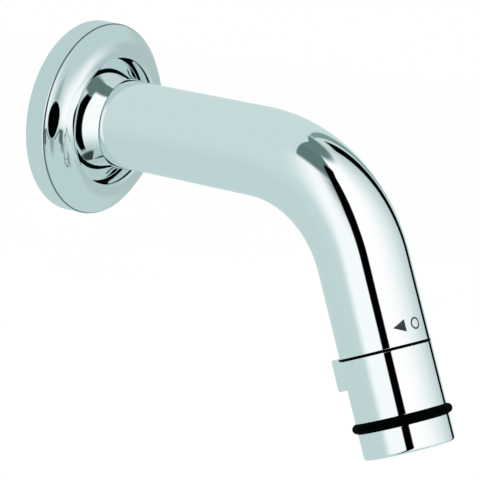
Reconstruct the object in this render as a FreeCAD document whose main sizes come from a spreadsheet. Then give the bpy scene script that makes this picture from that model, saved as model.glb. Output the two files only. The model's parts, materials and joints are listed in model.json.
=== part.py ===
# Wall-mounted tap with a bent spout and a turning outlet sleeve, in millimetres.
# The origin is on the finished wall at the centre of the inlet, +Y runs into the wall and +Z is up.
import FreeCAD, Part
import math
import os
import Sketcher
from types import SimpleNamespace

# Driving sizes, grouped by the piece that owns them.
# "reach" is a radius or a radial step, "rise" a length along the turned piece's own axis.
SIZES = {
    # spout tube
    "tube_radius": 14.0,
    "bore_radius": 7.5,
    "straight_run": 67.5,
    "bend_radius": 45.0,
    "bend_angle": 66.0,
    "tail_length": 27.0,
    "lip_round": 0.4,
    "mouth_start": 16.0,
    "mouth_step": 0.5,
    "mouth_land": 0.8,
    "mouth_length": 14.0,
    "spigot_radius": 11.9,
    # inlet nipple
    "inlet_thread_radius": 10.48,
    "inlet_thread_length": 15.0,
    "thread_chamfer": 0.9,
    "nipple_bore_radius": 5.8,
    "nipple_flange_radius": 14.6,
    "nipple_flange_thickness": 2.9,
    "nipple_front_radius": 13.2,
    "nipple_front_length": 6.0,
    "nipple_key_width": 12.0,
    "nipple_key_depth": 12.0,
    # flat gasket and strainer between nipple and spout
    "gasket_thickness": 1.5,
    "gasket_inner_radius": 7.7,
    "gasket_margin": 0.6,
    "strainer_flange_radius": 9.0,
    "strainer_sheet": 0.4,
    "strainer_depth": 6.0,
    "strainer_slack": 0.3,
    "strainer_hole_radius": 0.65,
    "strainer_hole_circle": 4.9,
    # collar that pulls the spout onto the nipple
    "collar_radius": 19.2,
    "collar_back": 0.8,
    "collar_skirt_depth": 2.6,
    "collar_edge_rise": 7.0,
    "collar_edge_round": 0.4,
    "collar_nose_step": 0.3,
    "collar_hollow_radius": 17.0,
    "collar_nose_gap": 0.3,
    "collar_flat_depth": 2.4,
    "collar_flat_length": 3.2,
    "snap_land": 1.0,
    "snap_width": 1.2,
    "snap_depth": 0.7,
    "snap_reach": 1.7,
    "snap_opening": 40.0,
    # escutcheon
    "escutcheon_radius": 31.0,
    "escutcheon_band": 6.3,
    "escutcheon_edge_step": 0.5,
    "escutcheon_edge_rise": 0.87,
    "escutcheon_edge_round": 1.0,
    "escutcheon_cove_reach": 1.76,
    "escutcheon_cove_rise": 1.58,
    "escutcheon_cove_radius": 5.7,
    "escutcheon_dome_radius": 7.5,
    "escutcheon_lip_rise": 11.55,
    "escutcheon_cover_gap": 1.4,
    "escutcheon_neck_back": 4.7,
    "escutcheon_wall": 1.5,
    "wall_gasket_width": 2.0,
    "wall_gasket_thickness": 2.0,
    "grip_groove_width": 1.6,
    "grip_groove_rise": 5.0,
    "grip_groove_depth": 1.3,
    # valve in the end of the spout
    "socket_radius": 10.5,
    "socket_depth": 14.0,
    "lip_seal_thickness": 2.0,
    "lip_seal_inner_radius": 7.2,
    "lip_seal_reach": 2.2,
    "disc_radius": 8.2,
    "disc_thickness": 3.0,
    "port_inner_radius": 2.4,
    "port_outer_radius": 6.4,
    "port_angle": 74.0,
    "disc_key_reach": 1.1,
    "disc_key_width": 2.9,
    "flange_thickness": 2.4,
    "neck_length": 5.6,
    "neck_wall": 2.65,
    "neck_key_width": 1.6,
    "neck_key_reach": 0.5,
    "housing_groove_width": 1.8,
    "housing_groove_depth": 1.35,
    "housing_groove_rise": 0.9,
    # hollow spindle
    "spindle_radius": 6.1,
    "spindle_bore_radius": 4.0,
    "spindle_flange_thickness": 1.8,
    "spindle_mouth_radius": 6.6,
    "slide_ring_thickness": 1.0,
    "dog_inner_radius": 6.8,
    "dog_height": 1.2,
    "dog_angle": 30.0,
    "dog_play": 3.0,
    "o_ring_groove_width": 1.5,
    "o_ring_groove_depth": 1.25,
    "upper_o_ring_rise": 0.2,
    "lower_o_ring_rise": 4.2,
    "circlip_gap": 0.4,
    "circlip_thickness": 0.8,
    "circlip_groove_depth": 0.55,
    "circlip_reach": 2.2,
    "circlip_opening": 70.0,
    "spline_width": 1.4,
    "spline_depth": 0.75,
    "screw_radius": 5.2,
    "screw_end": 18.0,
    # stop ring
    "stop_height": 2.6,
    "stop_base_reach": 1.35,
    "turn_angle": 90.0,
    "stop_play": 1.0,
    "rib_angle": 30.0,
    # turning sleeve
    "sleeve_gap": 0.5,
    "sleeve_length": 30.5,
    "sleeve_end_round": 1.0,
    "skirt_wall": 1.8,
    "web_start": 9.8,
    "web_thickness": 4.0,
    "chamber_radius": 10.9,
    "aerator_thread_radius": 12.0,
    "aerator_thread_length": 6.5,
    "ring_section_radius": 1.45,
    "ring_rise": 21.3,
    "ring_groove_depth": 1.55,
    "lug_width": 8.0,
    "lug_reach": 3.6,
    "lug_height": 8.9,
    "lug_lip": 0.9,
    "lug_round": 1.0,
    "washer_thickness": 1.0,
    "washer_radius": 8.6,
    "nut_width": 14.0,
    "nut_height": 2.6,
    # aerator
    "seal_thickness": 1.5,
    "seal_width": 2.0,
    "aerator_end_recess": 0.4,
    "aerator_shell_wall": 1.3,
    "aerator_ledge_height": 2.0,
    "aerator_ledge_reach": 0.7,
    "notch_width": 1.6,
    "notch_depth": 0.8,
    "notch_wall": 0.4,
    "insert_radius": 9.6,
    "insert_top_gap": 0.6,
    "insert_wall": 1.6,
    "insert_end_recess": 1.4,
    "jet_seat_rise": 2.5,
    "jet_seat_reach": 0.7,
    "jet_plate_thickness": 1.6,
    "jet_hole_radius": 0.6,
    "jet_hole_circle": 6.6,
    "screen_thickness": 0.5,
    "screen_to_grille": 2.3,
    "screen_spacing": 0.9,
    "grille_height": 1.4,
    "grille_bar": 0.6,
    "grille_hub": 1.0,
    # clearances
    "thread_clearance": 0.08,
    "running_clearance": 0.05,
    "lapped_gap": 0.02,
    "loose_clearance": 0.1,
    "open_clearance": 0.4,
}

HOUSING_KEYS = 2
DISC_PORTS = 2
DRIVE_DOGS = 2
NECK_KEYS = 4
SPLINES = 8
STRAINER_HOLES = 8
JET_HOLES = 12
KEY_NOTCHES = 12
GRILLE_RINGS = 3
WINDOWS_PER_RING = 4
COLLAR_FLATS = 2

# How far a cutting tool runs past the face that it cuts, and what counts as the same place
OVERCUT = 1.0
TOUCHING = 0.001
FULL_TURN = 360.0
HALF_TURN = 180.0
QUARTER_TURN = 90.0

doc = FreeCAD.newDocument("WallTap")
sheet = doc.addObject("Spreadsheet::Sheet", "Sizes")


class Size:
    """A number of the sheet, or one worked out from it, with the text that binds it."""

    def __init__(self, text, value):
        self.text = text
        self.value = value

    def joined(self, sign, other, value):
        return Size("(%s %s %s)" % (self.text, sign, other.text), value)

    def __add__(self, other):
        other = sized(other)
        return self.joined("+", other, self.value + other.value)

    def __sub__(self, other):
        other = sized(other)
        return self.joined("-", other, self.value - other.value)

    def __mul__(self, other):
        other = sized(other)
        return self.joined("*", other, self.value * other.value)

    def __truediv__(self, other):
        other = sized(other)
        return self.joined("/", other, self.value / other.value)

    def __neg__(self):
        return Size("(0 - %s)" % self.text, -self.value)


def sized(number):
    """Turns a plain number into a Size, and leaves a Size as it is."""
    if isinstance(number, Size):
        return number
    return Size(str(number), float(number))


def sine(angle):
    return Size("sin(%s)" % angle.text, math.sin(math.radians(angle.value)))


def cosine(angle):
    return Size("cos(%s)" % angle.text, math.cos(math.radians(angle.value)))


def fill_sheet():
    for row, (name, value) in enumerate(SIZES.items(), start=1):
        sheet.set("A%d" % row, name)
        sheet.set("B%d" % row, str(value))
        sheet.setAlias("B%d" % row, name)
    doc.recompute()
    return {name: Size("Sizes." + name, float(sheet.get(name))) for name in SIZES}


g = SimpleNamespace(**fill_sheet())


# Heights along the inlet axis, counted outwards from the wall
nipple_front = g.nipple_flange_thickness + g.nipple_front_length
spigot_end = nipple_front + g.gasket_thickness
snap_start = spigot_end + g.snap_land
snap_end = snap_start + g.snap_width
collar_nose = g.mouth_start - g.collar_nose_gap
collar_thread_radius = g.nipple_front_radius + g.thread_clearance
collar_skirt_end = g.collar_back + g.collar_skirt_depth

# Heights along the outlet axis, counted down from the end face of the tube
seal_top = -g.socket_depth
fixed_disc_top = seal_top + g.lip_seal_thickness
turning_disc_top = fixed_disc_top + g.disc_thickness + g.lapped_gap
spindle_top = turning_disc_top + g.disc_thickness
slide_ring_top = spindle_top + g.spindle_flange_thickness + g.lapped_gap
bearing_top = slide_ring_top + g.slide_ring_thickness
neck_end = g.flange_thickness + g.neck_length
circlip_top = neck_end + g.circlip_gap
circlip_end = circlip_top + g.circlip_thickness
web_end = g.web_start + g.web_thickness
nut_top = web_end + g.washer_thickness
sleeve_end = g.sleeve_gap + g.sleeve_length
thread_top = sleeve_end - g.aerator_thread_length
aerator_top = thread_top + g.seal_thickness
aerator_end = sleeve_end - g.aerator_end_recess
ledge_top = aerator_end - g.aerator_ledge_height
insert_end = sleeve_end - g.insert_end_recess
insert_top = g.screw_end + g.insert_top_gap
grille_top = insert_end - g.grille_height
lower_screen_top = grille_top - g.screen_to_grille - g.screen_thickness
upper_screen_top = lower_screen_top - g.screen_spacing - g.screen_thickness

# Radii that fit each other
cover_hole = g.collar_radius + g.escutcheon_cover_gap
chamber_bore = g.disc_radius + g.running_clearance
bearing_bore = g.spindle_radius + g.running_clearance
neck_radius = bearing_bore + g.neck_wall
stop_bore = neck_radius + g.loose_clearance
stop_base = stop_bore + g.stop_base_reach
skirt_radius = g.tube_radius - g.skirt_wall
flange_radius = skirt_radius - g.open_clearance
aerator_shell_radius = g.aerator_thread_radius - g.thread_clearance
aerator_shell_bore = aerator_shell_radius - g.aerator_shell_wall
insert_bore = g.insert_radius - g.insert_wall
grille_radius = insert_bore - g.running_clearance


def plane_of(body, role):
    return next(part for part in body.Origin.OriginFeatures if part.Role == role)


def new_sketch(body, name, role):
    sketch = body.newObject("Sketcher::SketchObject", name)
    sketch.AttachmentSupport = [(plane_of(body, role), "")]
    sketch.MapMode = "FlatFace"
    return sketch


def lift(sketch, height):
    """Raises a sketch above its plane by a bound height."""
    sketch.setExpression("AttachmentOffset.Base.z", height.text)


def bind(sketch, kind, places, size):
    """Adds one dimension and ties it to the sheet."""
    index = sketch.addConstraint(Sketcher.Constraint(kind, *places, size.value))
    sketch.setExpression("Constraints[%d]" % index, size.text)


def bulge(radius):
    """An edge that swells out of a profile drawn anticlockwise."""
    return (radius, True)


def hollow(radius):
    """An edge that dips into a profile drawn anticlockwise."""
    return (radius, False)


def arc_between(start, end, radius, swells):
    """A first guess for an arc, drawn anticlockwise as the sketcher needs it."""
    if not swells:
        start, end = end, start
    chord = end - start
    middle = (start + end) * 0.5
    side = FreeCAD.Vector(-chord.y, chord.x, 0)
    side.normalize()
    centre = middle + side * math.sqrt(max(radius ** 2 - (chord.Length / 2) ** 2, 0))
    first = math.atan2(start.y - centre.y, start.x - centre.x)
    last = math.atan2(end.y - centre.y, end.x - centre.x)
    if last < first:
        last += 2 * math.pi
    circle = Part.Circle(centre, FreeCAD.Vector(0, 0, 1), radius)
    return Part.ArcOfCircle(circle, first, last)


def draw(sketch, corners):
    """Draws a closed profile, anticlockwise, with every corner bound to the sheet.

    A corner is (across, along) for a straight edge to the next corner, or has a bulge or a hollow as well.
    """
    spots = [FreeCAD.Vector(sized(c[0]).value, sized(c[1]).value, 0) for c in corners]
    ends = []
    for index, corner in enumerate(corners):
        start, end = spots[index], spots[(index + 1) % len(spots)]
        if len(corner) == 2:
            sketch.addGeometry(Part.LineSegment(start, end), False)
            ends.append((1, 2))
        else:
            radius, swells = corner[2]
            sketch.addGeometry(arc_between(start, end, radius.value, swells), False)
            ends.append((1, 2) if swells else (2, 1))
    for index in range(len(corners)):
        following = (index + 1) % len(corners)
        join = (index, ends[index][1], following, ends[following][0])
        sketch.addConstraint(Sketcher.Constraint("Coincident", *join))
    for index, corner in enumerate(corners):
        across, along = sized(corner[0]), sized(corner[1])
        if across.text == "0":
            sketch.addConstraint(Sketcher.Constraint("PointOnObject", index, ends[index][0], -2))
        else:
            bind(sketch, "DistanceX", (-1, 1, index, ends[index][0]), across)
        if along.text == "0":
            sketch.addConstraint(Sketcher.Constraint("PointOnObject", index, ends[index][0], -1))
        else:
            bind(sketch, "DistanceY", (-1, 1, index, ends[index][0]), along)
        if len(corner) == 3:
            bind(sketch, "Radius", (index,), corner[2][0])


def draw_circle(sketch, across, along, radius):
    """Draws one circle whose centre and radius are bound to the sheet."""
    across, along = sized(across), sized(along)
    centre = FreeCAD.Vector(across.value, along.value, 0)
    sketch.addGeometry(Part.Circle(centre, FreeCAD.Vector(0, 0, 1), radius.value), False)
    if across.text == "0" and along.text == "0":
        sketch.addConstraint(Sketcher.Constraint("Coincident", 0, 3, -1, 1))
    else:
        bind(sketch, "DistanceX", (-1, 1, 0, 3), across)
        if along.text == "0":
            sketch.addConstraint(Sketcher.Constraint("PointOnObject", 0, 3, -1))
        else:
            bind(sketch, "DistanceY", (-1, 1, 0, 3), along)
    bind(sketch, "Radius", (0,), radius)


def sector(inner, outer, angle):
    """Corners of a ring sector that is centred on the sketch's horizontal axis."""
    side, span = cosine(angle / 2), sine(angle / 2)
    return [
        (inner * side, -(inner * span)),
        (outer * side, -(outer * span), bulge(outer)),
        (outer * side, outer * span),
        (inner * side, inner * span, hollow(inner)),
    ]


def box_corners(left, right, half_width):
    return [(left, -half_width), (right, -half_width), (right, half_width), (left, half_width)]


def hexagon(width):
    """Corners of a hexagon with two flats across the sketch's horizontal axis."""
    apothem = width / 2
    step = apothem / math.sqrt(3)
    return [
        (apothem, -step), (apothem, step), (0, step * 2),
        (-apothem, step), (-apothem, -step), (0, -(step * 2)),
    ]


def revolve(body, name, sketch, kind="PartDesign::Revolution"):
    turned = body.newObject(kind, name)
    turned.Profile = sketch
    turned.ReferenceAxis = (sketch, ["V_Axis"])
    turned.Angle = FULL_TURN
    return turned


def extrude(body, name, sketch, length, cut=False, against=False):
    """Pads or pockets a sketch by a bound length, along its normal unless told against it."""
    feature = body.newObject("PartDesign::Pocket" if cut else "PartDesign::Pad", name)
    feature.Profile = sketch
    feature.setExpression("Length", length.text)
    feature.Reversed = (not against) if cut else against
    return feature


def spread(body, name, feature, count):
    """Repeats a feature about the body's own Z axis."""
    pattern = body.newObject("PartDesign::PolarPattern", name)
    pattern.Originals = [feature]
    pattern.Axis = (plane_of(body, "Z_Axis"), [""])
    pattern.Angle = FULL_TURN
    pattern.Occurrences = count
    body.Tip = pattern
    return pattern


def new_body(label, frame):
    """Starts a piece in the frame of the wall, of the outlet or of the whole tap."""
    body = doc.addObject("PartDesign::Body", label)
    body.Label = label
    frame(body)
    return body


def whole_frame(body):
    body.Placement = FreeCAD.Placement()


def wall_frame(body):
    """Local Z points out of the wall and local Y up."""
    tip = FreeCAD.Rotation(FreeCAD.Vector(1, 0, 0), QUARTER_TURN)
    body.Placement = FreeCAD.Placement(FreeCAD.Vector(), tip)


tail_start_out = g.straight_run + g.bend_radius * sine(g.bend_angle)
tail_start_down = g.bend_radius * (sized(1) - cosine(g.bend_angle))
outlet_out = tail_start_out + g.tail_length * cosine(g.bend_angle)
outlet_down = tail_start_down + g.tail_length * sine(g.bend_angle)
outlet_tilt = g.bend_angle + QUARTER_TURN


def outlet_frame(body):
    """Local Z runs down the outlet from the tube's end face and local Y points to the front."""
    wall_frame(body)
    body.setExpression("Placement.Base.y", (-outlet_out).text)
    body.setExpression("Placement.Base.z", (-outlet_down).text)
    body.setExpression("Placement.Rotation.Angle", outlet_tilt.text)


def turned_piece(label, corners, frame):
    body = new_body(label, frame)
    sketch = new_sketch(body, label + "_profile", "XZ_Plane")
    draw(sketch, corners)
    revolve(body, label + "_turned", sketch)
    return body


def ring_corners(inner, outer, start, end):
    return [(inner, start), (outer, start), (outer, end), (inner, end)]


def plain_disc(label, radius, start, thickness):
    return turned_piece(label, ring_corners(0, radius, start, start + thickness), outlet_frame)


def round_ring(label, radius, height, section, frame):
    """A ring of round section, such as an O-ring."""
    body = new_body(label, frame)
    sketch = new_sketch(body, label + "_section", "XZ_Plane")
    draw_circle(sketch, radius, height, section)
    revolve(body, label + "_turned", sketch)
    return body


def cut_profile(body, name, corners, height, depth, against=False):
    """Pockets a profile drawn square to the body's axis."""
    sketch = new_sketch(body, name + "_outline", "XY_Plane")
    lift(sketch, height)
    draw(sketch, corners)
    return extrude(body, name, sketch, depth, cut=True, against=against)


def add_profile(body, name, corners, height, depth):
    """Pads a profile drawn square to the body's axis."""
    sketch = new_sketch(body, name + "_outline", "XY_Plane")
    lift(sketch, height)
    draw(sketch, corners)
    return extrude(body, name, sketch, depth)


def cut_hole(body, name, radius, place, height, depth):
    sketch = new_sketch(body, name + "_outline", "XY_Plane")
    lift(sketch, height)
    draw_circle(sketch, place, 0, radius)
    return extrude(body, name, sketch, depth, cut=True)


def turn_sketch(sketch, angle):
    """Turns a sketch about its body's axis by a bound angle."""
    sketch.setExpression("AttachmentOffset.Rotation.Angle", sized(angle).text)


def round_edges(body, name, radius, wanted):
    """Rounds the edges of the body's last feature that the wanted function picks."""
    doc.recompute()
    base = body.Tip
    names = ["Edge%d" % (i + 1) for i, edge in enumerate(base.Shape.Edges) if wanted(edge)]
    rounding = body.newObject("PartDesign::Fillet", name)
    rounding.Base = (base, names)
    rounding.setExpression("Radius", radius.text)
    return rounding


def is_circle(edge, centre, radius):
    curve = edge.Curve
    if not isinstance(curve, Part.Circle):
        return False
    return (curve.Center - centre).Length < TOUCHING and abs(curve.Radius - radius.value) < TOUCHING


def circle_at(radius, height):
    """Picks a circular edge about the body's own axis."""
    centre = FreeCAD.Vector(0, 0, height.value)
    return lambda edge: is_circle(edge, centre, radius)


# Spout

def route(body, name, start, end_extra):
    """The tube's centre line: straight out, round the bend and down the tail."""
    sketch = new_sketch(body, name, "YZ_Plane")
    run, bend, angle = g.straight_run.value, g.bend_radius.value, math.radians(g.bend_angle.value)
    corner = FreeCAD.Vector(-run, 0, 0)
    centre = FreeCAD.Vector(-run, -bend, 0)
    bend_end = centre + FreeCAD.Vector(-math.sin(angle), math.cos(angle), 0) * bend
    way = FreeCAD.Vector(-math.cos(angle), -math.sin(angle), 0)
    tail = g.tail_length + end_extra
    sketch.addGeometry(Part.LineSegment(FreeCAD.Vector(-start.value, 0, 0), corner), False)
    circle = Part.Circle(centre, FreeCAD.Vector(0, 0, 1), bend)
    sketch.addGeometry(Part.ArcOfCircle(circle, math.pi / 2, math.pi / 2 + angle), False)
    sketch.addGeometry(Part.LineSegment(bend_end, bend_end + way * tail.value), False)
    sketch.addConstraint(Sketcher.Constraint("PointOnObject", 0, 1, -1))
    sketch.addConstraint(Sketcher.Constraint("Horizontal", 0))
    sketch.addConstraint(Sketcher.Constraint("Tangent", 0, 2, 1, 1))
    sketch.addConstraint(Sketcher.Constraint("Tangent", 1, 2, 2, 1))
    bind(sketch, "DistanceX", (-1, 1, 0, 1), -start)
    bind(sketch, "DistanceX", (-1, 1, 0, 2), -g.straight_run)
    bind(sketch, "Radius", (1,), g.bend_radius)
    bind(sketch, "DistanceX", (-1, 1, 1, 2), -tail_start_out)
    bind(sketch, "Distance", (2,), tail)
    return sketch


def tube_section(body, name, radius, start):
    sketch = new_sketch(body, name, "XZ_Plane")
    lift(sketch, start)
    draw_circle(sketch, 0, 0, radius)
    return sketch


def end_sketch(body, name, out, down, tilt):
    """A sketch in the tube's middle plane whose V axis runs along one end of the tube."""
    sketch = new_sketch(body, name, "YZ_Plane")
    sketch.setExpression("AttachmentOffset.Base.x", (-out).text)
    sketch.setExpression("AttachmentOffset.Base.y", (-down).text)
    sketch.setExpression("AttachmentOffset.Rotation.Angle", tilt.text)
    return sketch


def spout_body():
    body = new_body("spout_body", whole_frame)
    tube = body.newObject("PartDesign::AdditivePipe", "tube")
    tube.Profile = tube_section(body, "tube_section", g.tube_radius, g.mouth_start)
    tube.Spine = route(body, "tube_route", g.mouth_start, sized(0))

    mouth_radius = g.tube_radius + g.mouth_step
    land_end = g.mouth_start + g.mouth_land
    flare_end = g.mouth_start + g.mouth_length
    rise = g.mouth_length - g.mouth_land
    flare = (rise * rise + g.mouth_step * g.mouth_step) / (g.mouth_step * 2)
    inner = g.spigot_radius - g.snap_depth
    wall_end = end_sketch(body, "spigot_profile", sized(0), sized(0), sized(QUARTER_TURN))
    draw(wall_end, [
        (0, spigot_end), (g.spigot_radius, spigot_end), (g.spigot_radius, snap_start), (inner, snap_start),
        (inner, snap_end), (g.spigot_radius, snap_end), (g.spigot_radius, g.mouth_start),
        (mouth_radius, g.mouth_start), (mouth_radius, land_end, hollow(flare)),
        (g.tube_radius, flare_end), (0, flare_end),
    ])
    revolve(body, "spigot", wall_end)

    bore = body.newObject("PartDesign::SubtractivePipe", "waterway")
    bore.Profile = tube_section(body, "waterway_section", g.bore_radius, spigot_end - OVERCUT)
    bore.Spine = route(body, "waterway_route", spigot_end - OVERCUT, sized(OVERCUT))

    seat_radius = g.strainer_flange_radius + g.loose_clearance
    seat_depth = g.strainer_sheet + g.loose_clearance
    seat = end_sketch(body, "strainer_seat_profile", sized(0), sized(0), sized(QUARTER_TURN))
    draw(seat, [
        (0, spigot_end - OVERCUT), (seat_radius, spigot_end - OVERCUT),
        (seat_radius, spigot_end + seat_depth), (0, spigot_end + seat_depth),
    ])
    revolve(body, "strainer_seat", seat, "PartDesign::Groove")

    socket = end_sketch(body, "socket_profile", outlet_out, outlet_down, outlet_tilt)
    draw(socket, [
        (0, -g.socket_depth), (g.socket_radius, -g.socket_depth), (g.socket_radius, OVERCUT), (0, OVERCUT),
    ])
    revolve(body, "valve_socket", socket, "PartDesign::Groove")

    outlet = FreeCAD.Vector(0, -outlet_out.value, -outlet_down.value)
    wall_edge = FreeCAD.Vector(0, -g.mouth_start.value, 0)

    def outer_rims(edge):
        return is_circle(edge, outlet, g.tube_radius) or is_circle(edge, wall_edge, mouth_radius)

    round_edges(body, "spout_lips", g.lip_round, outer_rims)
    return body


# Wall side

def inlet_nipple():
    back = -g.inlet_thread_length
    body = turned_piece("inlet_nipple", [
        (g.nipple_bore_radius, back), (g.inlet_thread_radius - g.thread_chamfer, back),
        (g.inlet_thread_radius, back + g.thread_chamfer), (g.inlet_thread_radius, 0),
        (g.nipple_flange_radius, 0), (g.nipple_flange_radius, g.nipple_flange_thickness),
        (g.nipple_front_radius, g.nipple_flange_thickness),
        (g.nipple_front_radius, nipple_front - g.thread_chamfer),
        (g.nipple_front_radius - g.thread_chamfer, nipple_front), (g.nipple_bore_radius, nipple_front),
    ], wall_frame)
    key_start = nipple_front - g.nipple_key_depth
    cut_profile(body, "key_socket", hexagon(g.nipple_key_width), key_start, g.nipple_key_depth + OVERCUT)
    return body


def body_gasket():
    outer = g.nipple_front_radius - g.gasket_margin
    corners = ring_corners(g.gasket_inner_radius, outer, nipple_front, spigot_end)
    return turned_piece("body_gasket", corners, wall_frame)


def inlet_strainer():
    """A pressed cup with a flange and a perforated end."""
    cup = g.bore_radius - g.strainer_slack
    sheet_end = spigot_end + g.strainer_sheet
    cup_end = spigot_end + g.strainer_depth
    inside = cup - g.strainer_sheet
    body = turned_piece("inlet_strainer", [
        (inside, spigot_end), (g.strainer_flange_radius, spigot_end), (g.strainer_flange_radius, sheet_end),
        (cup, sheet_end), (cup, cup_end), (0, cup_end), (0, cup_end - g.strainer_sheet),
        (inside, cup_end - g.strainer_sheet),
    ], wall_frame)
    floor = cup_end - g.strainer_sheet - OVERCUT
    depth = g.strainer_sheet + OVERCUT * 2
    outer = cut_hole(body, "outer_perforation", g.strainer_hole_radius, g.strainer_hole_circle, floor, depth)
    spread(body, "outer_perforations", outer, STRAINER_HOLES)
    half_way = g.strainer_hole_circle / 2
    inner = cut_hole(body, "inner_perforation", g.strainer_hole_radius, half_way, floor, depth)
    spread(body, "inner_perforations", inner, STRAINER_HOLES // 2)
    return body


def union_collar():
    """The flared collar, threaded on the nipple and held on the spout by its inner shoulder."""
    spigot_bore = g.spigot_radius + g.loose_clearance * 2
    skirt_bore = g.nipple_flange_radius + g.open_clearance
    shoulder = snap_end + g.running_clearance
    groove_floor = g.collar_radius - g.grip_groove_depth
    groove_end = g.grip_groove_rise + g.grip_groove_width
    edge_top = g.collar_edge_rise + g.collar_edge_round
    nose = g.tube_radius + g.mouth_step - g.collar_nose_step
    body = turned_piece("union_collar", [
        (skirt_bore, g.collar_back), (g.collar_radius, g.collar_back),
        (g.collar_radius, g.grip_groove_rise), (groove_floor, g.grip_groove_rise),
        (groove_floor, groove_end), (g.collar_radius, groove_end),
        (g.collar_radius, g.collar_edge_rise, bulge(g.collar_edge_round)),
        (g.collar_radius - g.collar_edge_round, edge_top, hollow(g.collar_hollow_radius)),
        (nose, collar_nose), (spigot_bore, collar_nose), (spigot_bore, shoulder),
        (collar_thread_radius, shoulder), (collar_thread_radius, collar_skirt_end),
        (skirt_bore, collar_skirt_end),
    ], wall_frame)
    flats = new_sketch(body, "spanner_flat_outline", "XY_Plane")
    lift(flats, g.collar_back - OVERCUT)
    flat_distance = g.collar_radius - g.collar_flat_depth
    draw(flats, box_corners(flat_distance, g.collar_radius + OVERCUT, g.collar_radius))
    flat = extrude(body, "spanner_flat", flats, g.collar_flat_length + OVERCUT, cut=True)
    spread(body, "spanner_flats", flat, COLLAR_FLATS)
    return body


def open_ring(label, inner, outer, start, thickness, opening, frame):
    """A flat spring ring with a gap, such as a circlip."""
    body = turned_piece(label, ring_corners(inner, outer, start, start + thickness), frame)
    gap = cut_profile(body, label + "_gap", sector(inner - OVERCUT, outer + OVERCUT, opening),
                      start - OVERCUT, thickness + OVERCUT * 2)
    gap.Refine = True
    return body


def collar_snap_ring():
    inner = g.spigot_radius - g.snap_depth + g.running_clearance
    outer = inner + g.snap_reach
    thickness = g.snap_width - g.loose_clearance
    return open_ring("collar_snap_ring", inner, outer, snap_start + g.running_clearance, thickness,
                     g.snap_opening, wall_frame)


def escutcheon():
    """A thin cover: an edge band, a cove, a domed face that ends at the hole, and a neck behind it."""
    wall = g.escutcheon_wall
    edge = g.escutcheon_radius - g.escutcheon_edge_step
    edge_top = g.escutcheon_band + g.escutcheon_edge_rise
    cove = edge - g.escutcheon_cove_reach
    cove_top = edge_top + g.escutcheon_cove_rise
    neck = cover_hole + wall
    inner_lip = g.escutcheon_lip_rise - wall
    inner_cove_top = cove_top - wall / 2
    return turned_piece("escutcheon", [
        (g.escutcheon_radius - wall, 0), (g.escutcheon_radius, 0),
        (g.escutcheon_radius, g.escutcheon_band, bulge(g.escutcheon_edge_round)),
        (edge, edge_top, hollow(g.escutcheon_cove_radius)),
        (cove, cove_top, bulge(g.escutcheon_dome_radius)),
        (cover_hole, g.escutcheon_lip_rise), (cover_hole, g.escutcheon_neck_back),
        (neck, g.escutcheon_neck_back), (neck, inner_lip, hollow(g.escutcheon_dome_radius - wall)),
        (cove - wall, inner_cove_top), (g.escutcheon_radius - wall, g.escutcheon_band - wall / 2),
    ], wall_frame)


def grip_seal():
    """The rubber ring that fills the gap between collar and escutcheon and holds the escutcheon."""
    floor = g.collar_radius - g.grip_groove_depth
    start = g.grip_groove_rise + g.running_clearance
    end = g.grip_groove_rise + g.grip_groove_width - g.running_clearance
    corners = ring_corners(floor + g.running_clearance, cover_hole - g.running_clearance, start, end)
    return turned_piece("escutcheon_grip_seal", corners, wall_frame)


def wall_gasket():
    outer = g.escutcheon_radius - g.escutcheon_wall - g.loose_clearance
    corners = ring_corners(outer - g.wall_gasket_width, outer, 0, g.wall_gasket_thickness)
    return turned_piece("wall_gasket", corners, wall_frame)


# Valve in the end of the spout

def valve_housing():
    """The screwed-in housing: barrel for the discs, flange on the tube's end, neck for the spindle."""
    barrel = g.socket_radius - g.thread_clearance
    groove_floor = barrel - g.housing_groove_depth
    groove_end = -g.housing_groove_rise
    groove_start = groove_end - g.housing_groove_width
    body = turned_piece("valve_housing", [
        (chamber_bore, fixed_disc_top), (barrel, fixed_disc_top), (barrel, groove_start),
        (groove_floor, groove_start), (groove_floor, groove_end), (barrel, groove_end), (barrel, 0),
        (flange_radius, 0), (flange_radius, g.flange_thickness), (neck_radius, g.flange_thickness),
        (neck_radius, neck_end), (bearing_bore, neck_end), (bearing_bore, bearing_top),
        (chamber_bore, bearing_top),
    ], outlet_frame)
    slot_reach = chamber_bore + g.disc_key_reach + g.loose_clearance
    slot_half = (g.disc_key_width + g.loose_clearance) / 2
    slot = cut_profile(body, "disc_key_slot", box_corners(chamber_bore - OVERCUT, slot_reach, slot_half),
                       fixed_disc_top - OVERCUT, g.disc_thickness + OVERCUT)
    spread(body, "disc_key_slots", slot, HOUSING_KEYS)
    key_corners = box_corners(bearing_bore + OVERCUT, neck_radius + g.neck_key_reach, g.neck_key_width / 2)
    key = add_profile(body, "neck_key", key_corners, g.flange_thickness, g.stop_height)
    spread(body, "neck_keys", key, NECK_KEYS)
    return body


def housing_o_ring():
    barrel = g.socket_radius - g.thread_clearance
    section = (g.housing_groove_depth + g.thread_clearance) / 2 - g.running_clearance
    radius = barrel - g.housing_groove_depth + g.running_clearance + section
    height = -(g.housing_groove_rise + g.housing_groove_width / 2)
    return round_ring("housing_o_ring", radius, height, section, outlet_frame)


def inlet_lip_seal():
    outer = g.lip_seal_inner_radius + g.lip_seal_reach
    corners = ring_corners(g.lip_seal_inner_radius, outer, seal_top, fixed_disc_top)
    return turned_piece("inlet_lip_seal", corners, outlet_frame)


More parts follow.
